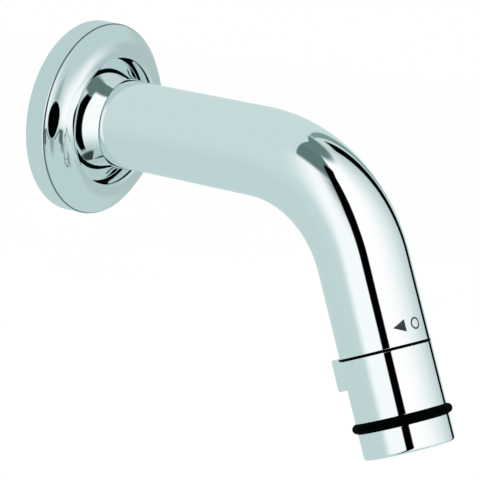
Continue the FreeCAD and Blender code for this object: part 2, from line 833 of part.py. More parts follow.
def ported_disc(label, top, port_turn):
    """A lapped ceramic disc with two sector ports."""
    body = plain_disc(label, g.disc_radius, top, g.disc_thickness)
    sketch = new_sketch(body, label + "_port_outline", "XY_Plane")
    turn_sketch(sketch, port_turn)
    lift(sketch, top - OVERCUT)
    draw(sketch, sector(g.port_inner_radius, g.port_outer_radius, g.port_angle))
    port = extrude(body, label + "_port", sketch, g.disc_thickness + OVERCUT * 2, cut=True)
    spread(body, label + "_ports", port, DISC_PORTS)
    return body


def fixed_disc():
    body = ported_disc("fixed_ceramic_disc", fixed_disc_top, QUARTER_TURN)
    reach = g.disc_radius + g.disc_key_reach
    key_corners = box_corners(g.disc_radius - OVERCUT, reach, g.disc_key_width / 2)
    key = add_profile(body, "disc_key", key_corners, fixed_disc_top, g.disc_thickness)
    spread(body, "disc_keys", key, HOUSING_KEYS)
    return body


def turning_disc():
    body = ported_disc("turning_ceramic_disc", turning_disc_top, 0)
    inner = g.dog_inner_radius - g.loose_clearance
    sketch = new_sketch(body, "dog_notch_outline", "XY_Plane")
    turn_sketch(sketch, QUARTER_TURN)
    lift(sketch, spindle_top - g.dog_height - g.loose_clearance)
    draw(sketch, sector(inner, g.disc_radius + OVERCUT, g.dog_angle + g.dog_play))
    notch = extrude(body, "dog_notch", sketch, g.dog_height + OVERCUT, cut=True)
    spread(body, "dog_notches", notch, DRIVE_DOGS)
    return body


def slide_ring():
    corners = ring_corners(bearing_bore + g.loose_clearance, g.disc_radius, slide_ring_top, bearing_top)
    return turned_piece("slide_ring", corners, outlet_frame)


def hollow_spindle():
    """The spindle that the sleeve turns: it drives the disc and lets the water through its bore."""
    r = g.spindle_radius
    floor = r - g.o_ring_groove_depth
    clip_floor = r - g.circlip_groove_depth
    flange_end = spindle_top + g.spindle_flange_thickness
    grooves = []
    for start in (g.upper_o_ring_rise, g.lower_o_ring_rise):
        end = start + g.o_ring_groove_width
        grooves += [(r, start), (floor, start), (floor, end), (r, end)]
    spline_end = web_end - g.loose_clearance * 2
    body = turned_piece("hollow_spindle", [
        (g.spindle_mouth_radius, spindle_top), (g.disc_radius, spindle_top), (g.disc_radius, flange_end),
        (r, flange_end), *grooves, (r, circlip_top - g.running_clearance),
        (clip_floor, circlip_top - g.running_clearance), (clip_floor, circlip_end + g.running_clearance),
        (r, circlip_end + g.running_clearance), (r, spline_end), (g.screw_radius, spline_end),
        (g.screw_radius, g.screw_end), (g.spindle_bore_radius, g.screw_end),
        (g.spindle_bore_radius, flange_end + g.spindle_flange_thickness),
    ], outlet_frame)
    dogs = new_sketch(body, "drive_dog_outline", "XY_Plane")
    turn_sketch(dogs, QUARTER_TURN)
    lift(dogs, spindle_top - g.dog_height)
    draw(dogs, sector(g.dog_inner_radius, g.disc_radius - g.loose_clearance, g.dog_angle))
    dog = extrude(body, "drive_dog", dogs, g.dog_height + g.spindle_flange_thickness / 2)
    spread(body, "drive_dogs", dog, DRIVE_DOGS)
    groove_floor = r - g.spline_depth
    spline = cut_profile(body, "spline_groove", box_corners(groove_floor, r + OVERCUT, g.spline_width / 2),
                         g.web_start - g.loose_clearance, g.web_thickness + g.loose_clearance)
    spread(body, "spline_grooves", spline, SPLINES)
    return body


def spindle_o_ring(label, start):
    radius = g.spindle_radius - g.o_ring_groove_depth / 2
    section = g.o_ring_groove_depth / 2 - g.lapped_gap
    return round_ring(label, radius, start + g.o_ring_groove_width / 2, section, outlet_frame)


def spindle_circlip():
    inner = g.spindle_radius - g.circlip_groove_depth + g.running_clearance
    return open_ring("spindle_circlip", inner, inner + g.circlip_reach, circlip_top, g.circlip_thickness,
                     g.circlip_opening, outlet_frame)


def stop_ring():
    """A keyed ring with a window in its rim, where the sleeve's rib turns between two stops."""
    stop_end = g.flange_thickness + g.stop_height
    body = turned_piece("stop_ring", ring_corners(stop_bore, flange_radius, g.flange_thickness, stop_end),
                        outlet_frame)
    window = new_sketch(body, "turning_window_outline", "XY_Plane")
    turn_sketch(window, QUARTER_TURN)
    lift(window, g.flange_thickness - OVERCUT)
    draw(window, sector(stop_base, flange_radius + OVERCUT, g.turn_angle + g.rib_angle + g.stop_play * 2))
    extrude(body, "turning_window", window, g.stop_height + OVERCUT * 2, cut=True)
    keyway_reach = neck_radius + g.neck_key_reach + g.loose_clearance
    keyway_half = (g.neck_key_width + g.loose_clearance) / 2
    keyway = cut_profile(body, "keyway", box_corners(neck_radius - OVERCUT, keyway_reach, keyway_half),
                         g.flange_thickness - OVERCUT, g.stop_height + OVERCUT * 2)
    spread(body, "keyways", keyway, NECK_KEYS)
    return body


# Turning outlet

def turning_sleeve():
    """The sleeve the hand turns: skirt, splined web, chamber, aerator thread, grip groove and lug."""
    outer = g.tube_radius
    floor = outer - g.ring_groove_depth
    groove_half = g.ring_section_radius + g.loose_clearance
    web_bore = g.spindle_radius + g.loose_clearance
    body = turned_piece("turning_sleeve", [
        (skirt_radius, g.sleeve_gap), (outer, g.sleeve_gap), (outer, g.ring_rise - groove_half),
        (floor, g.ring_rise - groove_half), (floor, g.ring_rise + groove_half),
        (outer, g.ring_rise + groove_half), (outer, sleeve_end), (g.aerator_thread_radius, sleeve_end),
        (g.aerator_thread_radius, thread_top), (g.chamber_radius, thread_top), (g.chamber_radius, web_end),
        (web_bore, web_end), (web_bore, g.web_start), (skirt_radius, g.web_start),
    ], outlet_frame)
    round_edges(body, "sleeve_top_lip", g.lip_round, circle_at(outer, g.sleeve_gap))
    round_edges(body, "sleeve_end_lip", g.sleeve_end_round, circle_at(outer, sleeve_end))

    rib_start = g.flange_thickness + g.open_clearance
    rib = new_sketch(body, "stop_rib_outline", "XY_Plane")
    turn_sketch(rib, sized(QUARTER_TURN) - g.turn_angle / 2)
    lift(rib, rib_start)
    draw(rib, sector(stop_base + g.open_clearance, skirt_radius + g.skirt_wall / 4, g.rib_angle))
    extrude(body, "stop_rib", rib, g.web_start - rib_start + g.web_thickness / 4)

    key_floor = g.spindle_radius - g.spline_depth + g.loose_clearance
    key_half = g.spline_width / 2 - g.loose_clearance
    key = add_profile(body, "spline_key", box_corners(key_floor, web_bore + OVERCUT, key_half),
                      g.web_start, g.web_thickness)
    spread(body, "spline_keys", key, SPLINES)

    lug = new_sketch(body, "lug_outline", "XY_Plane")
    turn_sketch(lug, -QUARTER_TURN)
    lift(lug, g.sleeve_gap)
    draw(lug, box_corners(outer - g.skirt_wall / 2, outer + g.lug_reach, g.lug_width / 2))
    extrude(body, "lug", lug, g.lug_height)
    lip = new_sketch(body, "lug_lip_outline", "XY_Plane")
    turn_sketch(lip, -QUARTER_TURN)
    lift(lip, g.sleeve_gap - g.lug_lip)
    draw(lip, box_corners(outer + g.open_clearance, outer + g.lug_reach, g.lug_width / 2))
    extrude(body, "lug_lip", lip, g.lug_lip + g.lug_height / 2)
    lug_face = -(outer.value + g.lug_reach.value)
    lug_top = g.sleeve_gap.value - g.lug_lip.value

    def lug_edges(edge):
        on_face = all(abs(v.Point.y - lug_face) < TOUCHING for v in edge.Vertexes)
        on_top = all(abs(v.Point.z - lug_top) < TOUCHING for v in edge.Vertexes)
        return on_face and not on_top

    round_edges(body, "lug_rounding", g.lug_round, lug_edges)
    return body


def grip_ring():
    floor = g.tube_radius - g.ring_groove_depth
    return round_ring("grip_ring", floor + g.running_clearance + g.ring_section_radius, g.ring_rise,
                      g.ring_section_radius, outlet_frame)


def sleeve_washer():
    inner = g.screw_radius + g.loose_clearance
    corners = ring_corners(inner, g.washer_radius, web_end, nut_top)
    return turned_piece("sleeve_washer", corners, outlet_frame)


def sleeve_nut():
    body = new_body("sleeve_nut", outlet_frame)
    add_profile(body, "nut_blank", hexagon(g.nut_width), nut_top, g.nut_height)
    bore = g.screw_radius + g.thread_clearance
    cut_hole(body, "nut_bore", bore, 0, nut_top - OVERCUT, g.nut_height + OVERCUT * 2)
    return body


# Aerator

def aerator_seal():
    outer = g.aerator_thread_radius - g.loose_clearance
    corners = ring_corners(outer - g.seal_width, outer, thread_top, aerator_top)
    return turned_piece("aerator_seal", corners, outlet_frame)


def aerator_shell():
    """The threaded shell, with a ledge for the insert and notches for the key."""
    ledge = aerator_shell_bore - g.aerator_ledge_reach
    body = turned_piece("aerator_shell", [
        (aerator_shell_bore, aerator_top), (aerator_shell_radius, aerator_top),
        (aerator_shell_radius, aerator_end), (ledge, aerator_end), (ledge, ledge_top),
        (aerator_shell_bore, ledge_top),
    ], outlet_frame)
    floor = aerator_shell_bore + g.notch_wall
    corners = box_corners(floor, aerator_shell_radius + OVERCUT, g.notch_width / 2)
    notch = cut_profile(body, "key_notch", corners, aerator_end - g.notch_depth, g.notch_depth + OVERCUT)
    spread(body, "key_notches", notch, KEY_NOTCHES)
    return body


def aerator_insert():
    outer = g.insert_radius
    seat = insert_bore + g.jet_seat_reach
    flange = aerator_shell_bore - g.loose_clearance
    flange_top = aerator_top + g.running_clearance
    flange_end = ledge_top - g.running_clearance
    jet_seat = insert_top + g.jet_seat_rise
    return turned_piece("aerator_insert", [
        (seat, insert_top), (outer, insert_top), (outer, flange_top), (flange, flange_top),
        (flange, flange_end), (outer, flange_end), (outer, insert_end), (insert_bore, insert_end),
        (insert_bore, jet_seat), (seat, jet_seat),
    ], outlet_frame)


def jet_plate():
    """The plate whose small holes split the water into jets."""
    seat = insert_bore + g.jet_seat_reach - g.running_clearance
    start = insert_top + g.jet_seat_rise - g.jet_plate_thickness
    body = plain_disc("aerator_jet_plate", seat, start, g.jet_plate_thickness)
    depth = g.jet_plate_thickness + OVERCUT * 2
    outer = cut_hole(body, "outer_jet", g.jet_hole_radius, g.jet_hole_circle, start - OVERCUT, depth)
    spread(body, "outer_jets", outer, JET_HOLES)
    inner = cut_hole(body, "inner_jet", g.jet_hole_radius, g.jet_hole_circle / 2, start - OVERCUT, depth)
    spread(body, "inner_jets", inner, JET_HOLES // 2)
    return body


def aerator_screen(label, start):
    return plain_disc(label, grille_radius, start, g.screen_thickness)


def stream_grille():
    """The outlet grille: rings of windows between a hub, round bars and spokes."""
    start = grille_top
    body = plain_disc("aerator_grille", grille_radius, start, g.grille_height)
    bars = g.grille_bar * GRILLE_RINGS
    window = (grille_radius - g.grille_hub - bars) / GRILLE_RINGS
    for ring in range(1, GRILLE_RINGS + 1):
        count = WINDOWS_PER_RING * ring
        inner = g.grille_hub + (window + g.grille_bar) * (ring - 1)
        outer = inner + window
        spoke = g.grille_bar * (HALF_TURN / math.pi) / ((inner + outer) / 2)
        corners = sector(inner, outer, sized(FULL_TURN / count) - spoke)
        cell = cut_profile(body, "window_%d" % ring, corners, start - OVERCUT, g.grille_height + OVERCUT * 2)
        spread(body, "windows_%d" % ring, cell, count)
    return body


def build():
    return [
        spout_body(), inlet_nipple(), body_gasket(), inlet_strainer(), union_collar(), collar_snap_ring(),
        escutcheon(), grip_seal(), wall_gasket(),
        valve_housing(), housing_o_ring(), inlet_lip_seal(), fixed_disc(), slide_ring(), stop_ring(),
        turning_disc(), hollow_spindle(),
        spindle_o_ring("upper_spindle_o_ring", g.upper_o_ring_rise),
        spindle_o_ring("lower_spindle_o_ring", g.lower_o_ring_rise),
        spindle_circlip(), turning_sleeve(), grip_ring(), sleeve_washer(), sleeve_nut(),
        aerator_seal(), aerator_shell(), aerator_insert(), jet_plate(),
        aerator_screen("upper_screen", upper_screen_top),
        aerator_screen("lower_screen", lower_screen_top),
        stream_grille(),
    ]


def check(pieces):
    """Stops before anything is written if an object failed or a piece isn't one sound solid."""
    doc.recompute()
    failed = [thing.Label for thing in doc.Objects if {"Invalid", "Error"} & set(thing.State)]
    if failed:
        raise RuntimeError("failed objects: " + ", ".join(failed))
    for piece in pieces:
        shape = piece.Shape
        if shape.isNull() or not shape.isValid() or len(shape.Solids) != 1:
            raise RuntimeError("unsound piece: " + piece.Label)
        print("%-24s %10.1f mm3" % (piece.Label, shape.Volume))


def export(pieces):
    os.makedirs("parts", exist_ok=True)
    for piece in pieces:
        piece.Shape.exportStep(os.path.join("parts", piece.Label + ".step"))


pieces = build()
check(pieces)
export(pieces)
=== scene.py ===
# %% [markdown]
# # A polished wall tap with a turning outlet
# The tap was first drawn as solid pieces in a CAD program. This lesson dresses those pieces in Blender:
# it builds the polished skins, the thread and the woven screens, gives each part its finish, and lights the
# whole like a catalogue picture. Chrome has no colour of its own, so most of the likeness comes from what
# it mirrors.

# %% Load the solid pieces
import json
import math
from functools import partial, reduce

import bpy
import bmesh
from mathutils import Matrix, Vector


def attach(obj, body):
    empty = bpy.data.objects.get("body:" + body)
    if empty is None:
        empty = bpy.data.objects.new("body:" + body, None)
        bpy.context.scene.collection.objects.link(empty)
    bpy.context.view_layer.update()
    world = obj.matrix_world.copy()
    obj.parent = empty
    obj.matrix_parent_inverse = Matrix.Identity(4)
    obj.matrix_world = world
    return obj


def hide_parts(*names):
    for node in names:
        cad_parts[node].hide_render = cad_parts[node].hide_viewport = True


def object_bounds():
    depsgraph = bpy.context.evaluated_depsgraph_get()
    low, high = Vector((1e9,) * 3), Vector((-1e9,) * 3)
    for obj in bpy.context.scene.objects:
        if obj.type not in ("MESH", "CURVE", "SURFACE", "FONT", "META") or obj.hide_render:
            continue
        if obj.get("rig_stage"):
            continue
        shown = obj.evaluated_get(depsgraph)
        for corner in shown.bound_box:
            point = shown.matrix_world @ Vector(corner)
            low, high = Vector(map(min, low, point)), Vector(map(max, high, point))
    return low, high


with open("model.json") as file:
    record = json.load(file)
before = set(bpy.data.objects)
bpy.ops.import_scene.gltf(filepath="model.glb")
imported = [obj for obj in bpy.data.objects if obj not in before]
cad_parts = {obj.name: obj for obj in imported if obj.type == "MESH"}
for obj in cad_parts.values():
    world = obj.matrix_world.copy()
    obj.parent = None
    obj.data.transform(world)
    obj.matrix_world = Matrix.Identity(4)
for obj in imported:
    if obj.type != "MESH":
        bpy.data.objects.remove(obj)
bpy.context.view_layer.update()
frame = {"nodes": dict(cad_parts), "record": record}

scene = bpy.context.scene
TAP, OUTLET = "tap_body", "turning_outlet"

# %% [markdown]
# ## Sizes and places
# Blender works in metres and the CAD used millimetres, so sizes are written in millimetres and scaled once.
# Every turned piece of this tap sits on one line: out of the wall, round the bend and down the tail. A piece
# is therefore described by how far it lies along that line, counted from the wall, and by its radius. The
# outlet is also given a matrix, for the few pieces that aren't turned.

# %% Sizes and places
MM = 0.001
STRAIGHT_RUN = 67.5
BEND_RADIUS = 45.0
BEND_ANGLE = math.radians(66.0)
TAIL_LENGTH = 27.0
TUBE_RADIUS = 14.0
TUBE_END = STRAIGHT_RUN + BEND_RADIUS * BEND_ANGLE + TAIL_LENGTH

outlet_out = STRAIGHT_RUN + BEND_RADIUS * math.sin(BEND_ANGLE) + TAIL_LENGTH * math.cos(BEND_ANGLE)
outlet_down = BEND_RADIUS * (1 - math.cos(BEND_ANGLE)) + TAIL_LENGTH * math.sin(BEND_ANGLE)
flow = Vector((0, -math.cos(BEND_ANGLE), -math.sin(BEND_ANGLE)))
front = Vector((0, -math.sin(BEND_ANGLE), math.cos(BEND_ANGLE)))
AT_OUTLET = Matrix((
    (1, 0, 0, 0),
    (0, front.y, flow.y, -outlet_out * MM),
    (0, front.z, flow.z, -outlet_down * MM),
    (0, 0, 0, 1),
))
print("the line is", round(TUBE_END, 2), "mm long and ends at", round(-outlet_out, 2), round(-outlet_down, 2))

# %% [markdown]
# ## Node helpers
# Finishes and shapes alike are small networks of nodes here. These helpers keep each network short. One adds a
# node and feeds its inputs, with fixed values or from other nodes. Others add a step of arithmetic, and need no
# tree, because a node knows the tree that it belongs to. A node stands for its own first output.

# %% Node helpers
def feed(socket, value):
    """Joins an input to a node or to one of its outputs, or gives it a fixed value."""
    if isinstance(value, bpy.types.Node):
        value = value.outputs[0]
    if isinstance(value, bpy.types.NodeSocket):
        socket.id_data.links.new(value, socket)
    else:
        socket.default_value = value


def add(tree, kind, **values):
    """Adds a node. Each value sets the option of that name, or else feeds the input of that name."""
    node = tree.nodes.new(kind)
    for name, value in values.items():
        if hasattr(node, name):
            setattr(node, name, value)
        else:
            feed(node.inputs[name.replace("_", " ")], value)
    return node


def number(operation, *values, kind="ShaderNodeMath"):
    """A step of arithmetic. At least one of its values comes from another node."""
    tree = next(value.id_data for value in values if hasattr(value, "id_data"))
    node = add(tree, kind, operation=operation)
    for socket, value in zip(node.inputs, values):
        feed(socket, value)
    return node


plus, minus, times, over, least, most = (
    partial(number, operation) for operation in ("ADD", "SUBTRACT", "MULTIPLY", "DIVIDE", "MINIMUM", "MAXIMUM"))
times_plus = partial(number, "MULTIPLY_ADD")


def vector(tree, x=0.0, y=0.0, z=0.0):
    return add(tree, "ShaderNodeCombineXYZ", X=x, Y=y, Z=z)


def parts_of(place):
    """The three numbers of a vector."""
    return add(place.id_data, "ShaderNodeSeparateXYZ", Vector=place).outputs


def spread(value, low, high, first, last, kind="LINEAR"):
    """Spreads a value between two limits over a range of its own, and holds it at the ends."""
    return add(value.id_data, "ShaderNodeMapRange", interpolation_type=kind, Value=value, From_Min=low,
               From_Max=high, To_Min=first, To_Max=last)


def new_group(name, result="Geometry", **inputs):
    """Starts a node group with named inputs of the kinds given, and one output."""
    tree = bpy.data.node_groups.new(name, "GeometryNodeTree")
    for title, kind in inputs.items():
        tree.interface.new_socket(title.replace("_", " "), in_out="INPUT", socket_type="NodeSocket" + kind)
    tree.interface.new_socket("Result", in_out="OUTPUT", socket_type="NodeSocket" + result)
    return tree, add(tree, "NodeGroupInput").outputs, add(tree, "NodeGroupOutput").inputs["Result"]

# %% [markdown]
# ## Following the line of the tube
# The rule for the line is simple: straight out, then round an arc, then straight down the tail. As a node
# group it takes a point of a straight piece and carries it to its place on the bent one, just as a turned
# tube is bent after it leaves the lathe. A simple-deform modifier could bend a mesh too, but it can't hold
# the two ends straight.

# %% Following the line of the tube
def make_line_group():
    tree, given, result = new_group("along_the_tube", "Vector", Across="Float", Upward="Float", Along="Float")
    run, radius = STRAIGHT_RUN * MM, BEND_RADIUS * MM
    angle = least(most(over(minus(given["Along"], run), radius), 0.0), BEND_ANGLE)
    tail = most(minus(given["Along"], run + radius * BEND_ANGLE), 0.0)
    sine, cosine = number("SINE", angle), number("COSINE", angle)
    out = times_plus(sine, radius, least(given["Along"], run))
    out = times_plus(tail, cosine, out)
    out = times_plus(given["Upward"], sine, out)
    down = times_plus(tail, sine, times(minus(1.0, cosine), radius))
    up = minus(times(given["Upward"], cosine), down)
    feed(result, vector(tree, given["Across"], times(out, -1.0), up))
    return tree


LINE = make_line_group()
print("node group:", LINE.name, "with", len(LINE.nodes), "nodes")

# %% [markdown]
# ## Outlines for the lathe
# A turned piece is one closed outline carried round an axis. The outline is a list of corners. An arc between
# two corners is written beside the first of them: plus swells out, minus dips in. Real metal never has a
# perfectly sharp edge, so each corner is softened a little, which also gives chrome its thin bright edge lines.
# Extra points stand close to each corner, so that the shine turns at the corner and not across the flat.

# %% Outlines for the lathe
ARC_STEP, LEAST_ARC_STEPS = 3, 6  # degrees between the points of an arc, and the fewest steps
LONG_ARC_STEP, NEAR_ARC_END = 0.4, 0.26  # mm: arcs with longer steps get extra points this near their ends
NEAR_CORNER = 0.12  # mm: how near a corner the extra points of a straight run stand
SHARP = math.radians(12)  # corners that turn more than this are softened
BEND_STOPS = (0.17, 0.34, 0.5, 0.66, 0.83)


def arc_points(start, end, radius):
    chord = end - start
    side = Vector((-chord.y, chord.x)).normalized() * math.copysign(1, radius)
    centre = (start + end) / 2 + side * math.sqrt(max(radius ** 2 - (chord.length / 2) ** 2, 0))
    sweep = 2 * math.asin(min(chord.length / 2 / abs(radius), 1)) * math.copysign(1, radius)
    count = max(LEAST_ARC_STEPS, math.ceil(abs(math.degrees(sweep)) / ARC_STEP))
    turns = [sweep * k / count for k in range(count + 1)]
    if abs(sweep) / count * abs(radius) > LONG_ARC_STEP:
        near = math.copysign(NEAR_ARC_END / abs(radius), sweep)
        turns[1:1], turns[-1:-1] = [near], [sweep - near]
    arm = start - centre
    return [centre + Vector((arm.x * math.cos(t) - arm.y * math.sin(t), arm.x * math.sin(t) + arm.y * math.cos(t)))
            for t in turns]


def shortened(points, length):
    """Takes a length off the end of a run of points."""
    points = list(points)
    while len(points) > 2 and (points[-1] - points[-2]).length <= length:
        length -= (points[-1] - points[-2]).length
        points.pop()
    last_step = points[-1] - points[-2]
    points[-1] = points[-1] - last_step.normalized() * min(length, last_step.length * 0.45)
    return points


def filled(points, step):
    """Adds points along a straight run, two of them close to its ends."""
    start, end = points[0], points[-1]
    length = (end - start).length
    if len(points) > 2 or length < NEAR_CORNER * 3:
        return points
    count = max(1, math.ceil((length - 2 * NEAR_CORNER) / step))
    stops = [NEAR_CORNER + (length - 2 * NEAR_CORNER) * k / count for k in range(count + 1)]
    return [start] + [start.lerp(end, stop / length) for stop in stops] + [end]


def outline(corners, soft=0.15, step=1.5):
    """The points of a closed outline that is written anticlockwise, as (across, along) or with an arc's radius."""
    edges = []
    for here, following in zip(corners, corners[1:] + corners[:1]):
        start, end = Vector(here[:2]), Vector(following[:2])
        edges.append(arc_points(start, end, here[2]) if len(here) > 2 else [start, end])
    bends = []
    for index, edge in enumerate(edges):
        after = (index + 1) % len(edges)
        corner, following, bend = edge[-1], edges[after], []
        if (corner - edge[-2]).angle(following[1] - following[0], 0) > SHARP:
            edges[index] = edge = shortened(edge, soft)
            edges[after] = following = shortened(following[::-1], soft)[::-1]
            first, last = edge[-1], following[0]
            bend = [first] + [first.lerp(corner, t).lerp(corner.lerp(last, t), t) for t in BEND_STOPS]
        bends.append(bend)
    return [point for edge, bend in zip(edges, bends) for point in filled(edge, step)[:-1] + bend]

# %% [markdown]
# ## The lathe
# The lathe is one Geometry Nodes tree. It reads the outline's points, lays a grid with one column for each of
# them and one row for each step round the axis, and sends every grid point to its place with the line group.
# Merging the seams closes the piece. A screw modifier could turn an outline too, but it couldn't cut a thread,
# mill a flat or follow the bend in the same pass.

# %% The lathe
FAR = 9.0  # metres, beyond the reach of every skin
NO_CUTS = {"Thread_Radius": FAR, "Thread_Depth": 0.0, "Thread_Pitch": 0.001, "Thread_From": 0.0, "Thread_To": 0.0,
           "Flat_Reach": FAR, "Flat_End": -FAR}
SEAM = 0.000002


def end_tree(geometry, finish, result, smooth=True):
    """The last steps of every tree: real meshes instead of instances, smooth shading, and the finish."""
    tree = geometry.id_data
    geometry = add(tree, "GeometryNodeRealizeInstances", Geometry=geometry)
    if smooth:
        geometry = add(tree, "GeometryNodeSetShadeSmooth", Geometry=geometry)
    feed(result, add(tree, "GeometryNodeSetMaterial", Geometry=geometry, Material=finish))


def make_lathe():
    cuts = dict.fromkeys(NO_CUTS, "Float")
    tree, given, result = new_group(
        "lathe", Outline="Geometry", Around="Int", Start="Float", **cuts, Finish="Material")
    count = add(tree, "GeometryNodeAttributeDomainSize", component="MESH", Geometry=given["Outline"])
    columns, rows = count.outputs["Point Count"], plus(given["Around"], 1)
    grid = add(tree, "GeometryNodeMeshGrid", Vertices_X=plus(columns, 1), Vertices_Y=rows)
    index = add(tree, "GeometryNodeInputIndex")
    column = number("FLOOR", over(plus(index, 0.5), rows))
    row = minus(index, times(column, rows))
    sample = add(tree, "GeometryNodeSampleIndex", data_type="FLOAT_VECTOR", Geometry=given["Outline"],
                 Value=add(tree, "GeometryNodeInputPosition"), Index=number("MODULO", column, columns))
    reach, along, _ = parts_of(sample)

    part_turn = over(row, given["Around"])
    pitch, start, end = given["Thread Pitch"], given["Thread From"], given["Thread To"]
    winding = times(plus(over(along, pitch), part_turn), 2 * math.pi)
    wave = times_plus(number("COSINE", winding), 0.5, 0.5)
    run_in, run_out = spread(along, start, plus(start, pitch), 0, 1), spread(along, minus(end, pitch), end, 1, 0)
    on_skin = number("GREATER_THAN", reach, given["Thread Radius"])
    cut = times(times(run_in, run_out), times(on_skin, wave))
    reach = minus(reach, times(cut, given["Thread Depth"]))

    angle = times(part_turn, -2 * math.pi)
    limit = plus(given["Flat Reach"], times(number("LESS_THAN", given["Flat End"], along), FAR))
    across = most(least(times(reach, number("COSINE", angle)), limit), times(limit, -1.0))
    line = add(tree, "GeometryNodeGroup", node_tree=LINE, Across=across,
               Upward=times(reach, number("SINE", angle)), Along=plus(along, given["Start"]))
    placed = add(tree, "GeometryNodeSetPosition", Geometry=grid, Position=line)
    end_tree(add(tree, "GeometryNodeMergeByDistance", Geometry=placed, Distance=SEAM), given["Finish"], result)
    return tree


LATHE = make_lathe()
print("lathe tree:", len(LATHE.nodes), "nodes, cuts:", ", ".join(NO_CUTS))

# %% [markdown]
# ## Baking a tree
# A tree works as a modifier on a start mesh. Its inputs are set by the sockets' identifiers before the object
# is looked at for the first time. The result is then copied into a plain mesh and the modifier goes away, so
# that the finished piece is ordinary geometry that sits at the origin and rides on a body of the tap.

# %% Baking a tree
def put(name, data):
    """Puts an object in the scene."""
    thing = bpy.data.objects.new(name, data)
    scene.collection.objects.link(thing)
    return thing


def start_mesh(name, points=((0, 0, 0),), faces=()):
    mesh = bpy.data.meshes.new(name)
    mesh.from_pydata(points, [], faces)
    return put(name, mesh)


def freeze(piece):
    """Makes the result of the modifiers the piece's own mesh."""
    shape = piece.evaluated_get(bpy.context.evaluated_depsgraph_get())
    mesh = bpy.data.meshes.new_from_object(shape)
    piece.modifiers.clear()
    piece.data = mesh
    return piece


def bake(piece, tree, **inputs):
    modifier = piece.modifiers.new("shape", "NODES")
    modifier.node_group = tree
    sockets = {item.name: item.identifier for item in tree.interface.items_tree if item.in_out == "INPUT"}
    for title, value in inputs.items():
        modifier[sockets[title.replace("_", " ")]] = value
    return freeze(piece)


def settle(piece, body, slot, *nodes):
    """Hands a finished piece to its body and hides the solids it stands for. The slot is not used."""
    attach(piece, body)
    if nodes:
        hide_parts(*nodes)
    check = bmesh.new()
    check.from_mesh(piece.data)
    volume = check.calc_volume(signed=True) * 1e6
    loose = sum(1 for edge in check.edges if len(edge.link_faces) != 2)
    check.free()
    print("%-22s %7d faces, %8.3f cm3, open edges %d" % (piece.name, len(piece.data.polygons), volume, loose))


def turned(name, corners, finish, start=0.0, soft=0.15, step=1.5, around=192, **cuts):
    """Turns an outline on the lathe. Its sizes, the start along the line and the cuts are in millimetres."""
    points = [(p.x * MM, p.y * MM, 0) for p in outline(corners, soft, step)]
    cuts = {**NO_CUTS, **{title: value * MM for title, value in cuts.items()}}
    return bake(start_mesh(name, points), LATHE, Around=around, Start=start * MM, Finish=finish, **cuts)

# %% [markdown]
# ## Finishes: the shared steps
# A finish starts from a Principled shader, whose fixed values are typed on its own sockets, and small networks
# vary only what varies on the real surface. Patterns use the object's own coordinates, so they stay on the
# metal when a piece turns. The steps below give a noise, a colour that drifts between two shades, and a bump.

# %% Finishes: the shared steps
def fresh_tree(owner):
    """The empty node tree of a material or a world."""
    owner.use_nodes = True
    owner.node_tree.nodes.clear()
    return owner.node_tree


def new_finish(name, **values):
    material = bpy.data.materials.new(name)
    tree = fresh_tree(material)
    shader = add(tree, "ShaderNodeBsdfPrincipled", **values)
    add(tree, "ShaderNodeOutputMaterial", Surface=shader)
    return material, tree, shader.inputs


def place(tree, turn=(0, 0, 0), stretch=(1, 1, 1)):
    """The object's own coordinates, stretched and then turned."""
    own = add(tree, "ShaderNodeTexCoord").outputs["Object"]
    return add(tree, "ShaderNodeMapping", vector_type="POINT", Vector=own, Rotation=turn, Scale=stretch)


def cloud(where, scale, detail=2.0):
    return add(where.id_data, "ShaderNodeTexNoise", Vector=where, Scale=scale, Detail=detail)


def graded(noise, first, last):
    """Spreads a noise over a range. Nearly all of it lies between 0.3 and 0.7."""
    return spread(noise, 0.3, 0.7, first, last)


def blend(mask, below, above):
    """Lays one colour over another where the mask is 1. Each is three fixed values, or painted by other nodes."""
    mix = add(mask.id_data, "ShaderNodeMix", data_type="RGBA")
    feed(mix.inputs[0], mask)
    for socket, colour in zip(mix.inputs[6:8], (below, above)):
        feed(socket, (*colour, 1) if isinstance(colour, tuple) else colour)
    return mix.outputs[2]


def relief(inputs, height, depth, strength):
    feed(inputs["Normal"], add(height.id_data, "ShaderNodeBump", Height=height, Distance=depth, Strength=strength))

# %% [markdown]
# ## Chrome
# Polished chrome is a mirror with a faint blue-green cast. Even a good one keeps a very shallow waviness from
# the buffing wheel, and a haze that varies from place to place. Both are so small that they only soften the
# edges of the reflections. A perfectly even mirror would look like a computer drawing.

# %% Chrome
CAST = (0.90, 0.945, 0.95)
SHADE_RING_EDGE = 0.06


def chrome(name, haze=0.025, waviness=0.1):
    material, tree, inputs = new_finish(name, Metallic=1.0, Base_Color=(*CAST, 1))
    where = place(tree)
    feed(inputs["Roughness"], graded(cloud(where, scale=90.0), haze, haze + 0.02))
    relief(inputs, cloud(where, scale=55.0, detail=0.0), depth=0.00002, strength=waviness)
    return material, tree, inputs


def chrome_with_painted_shade(name, *rings):
    """Polished chrome with dark rings of painted shade round the axis, in a crease and under a lip. Each is (radii,
    places, shade).
    """
    material, tree, inputs = chrome(name)
    x, y, z = parts_of(place(tree))
    out = number("SQRT", plus(*(number("POWER", number("ABSOLUTE", way), 2.0) for way in (x, z))))
    from_wall = times(y, -1.0)
    colour = CAST
    for radii, places, shade in rings:
        masks = []
        for value, (low, high) in ((out, radii), (from_wall, places)):
            half = (high - low) / 2
            far = number("ABSOLUTE", minus(value, (low + high) / 2 * MM))
            masks.append(spread(far, half * MM, (half + SHADE_RING_EDGE) * MM, 1, 0))
        colour = blend(times(*masks), colour, shade)
    feed(inputs["Base Color"], colour)
    return material


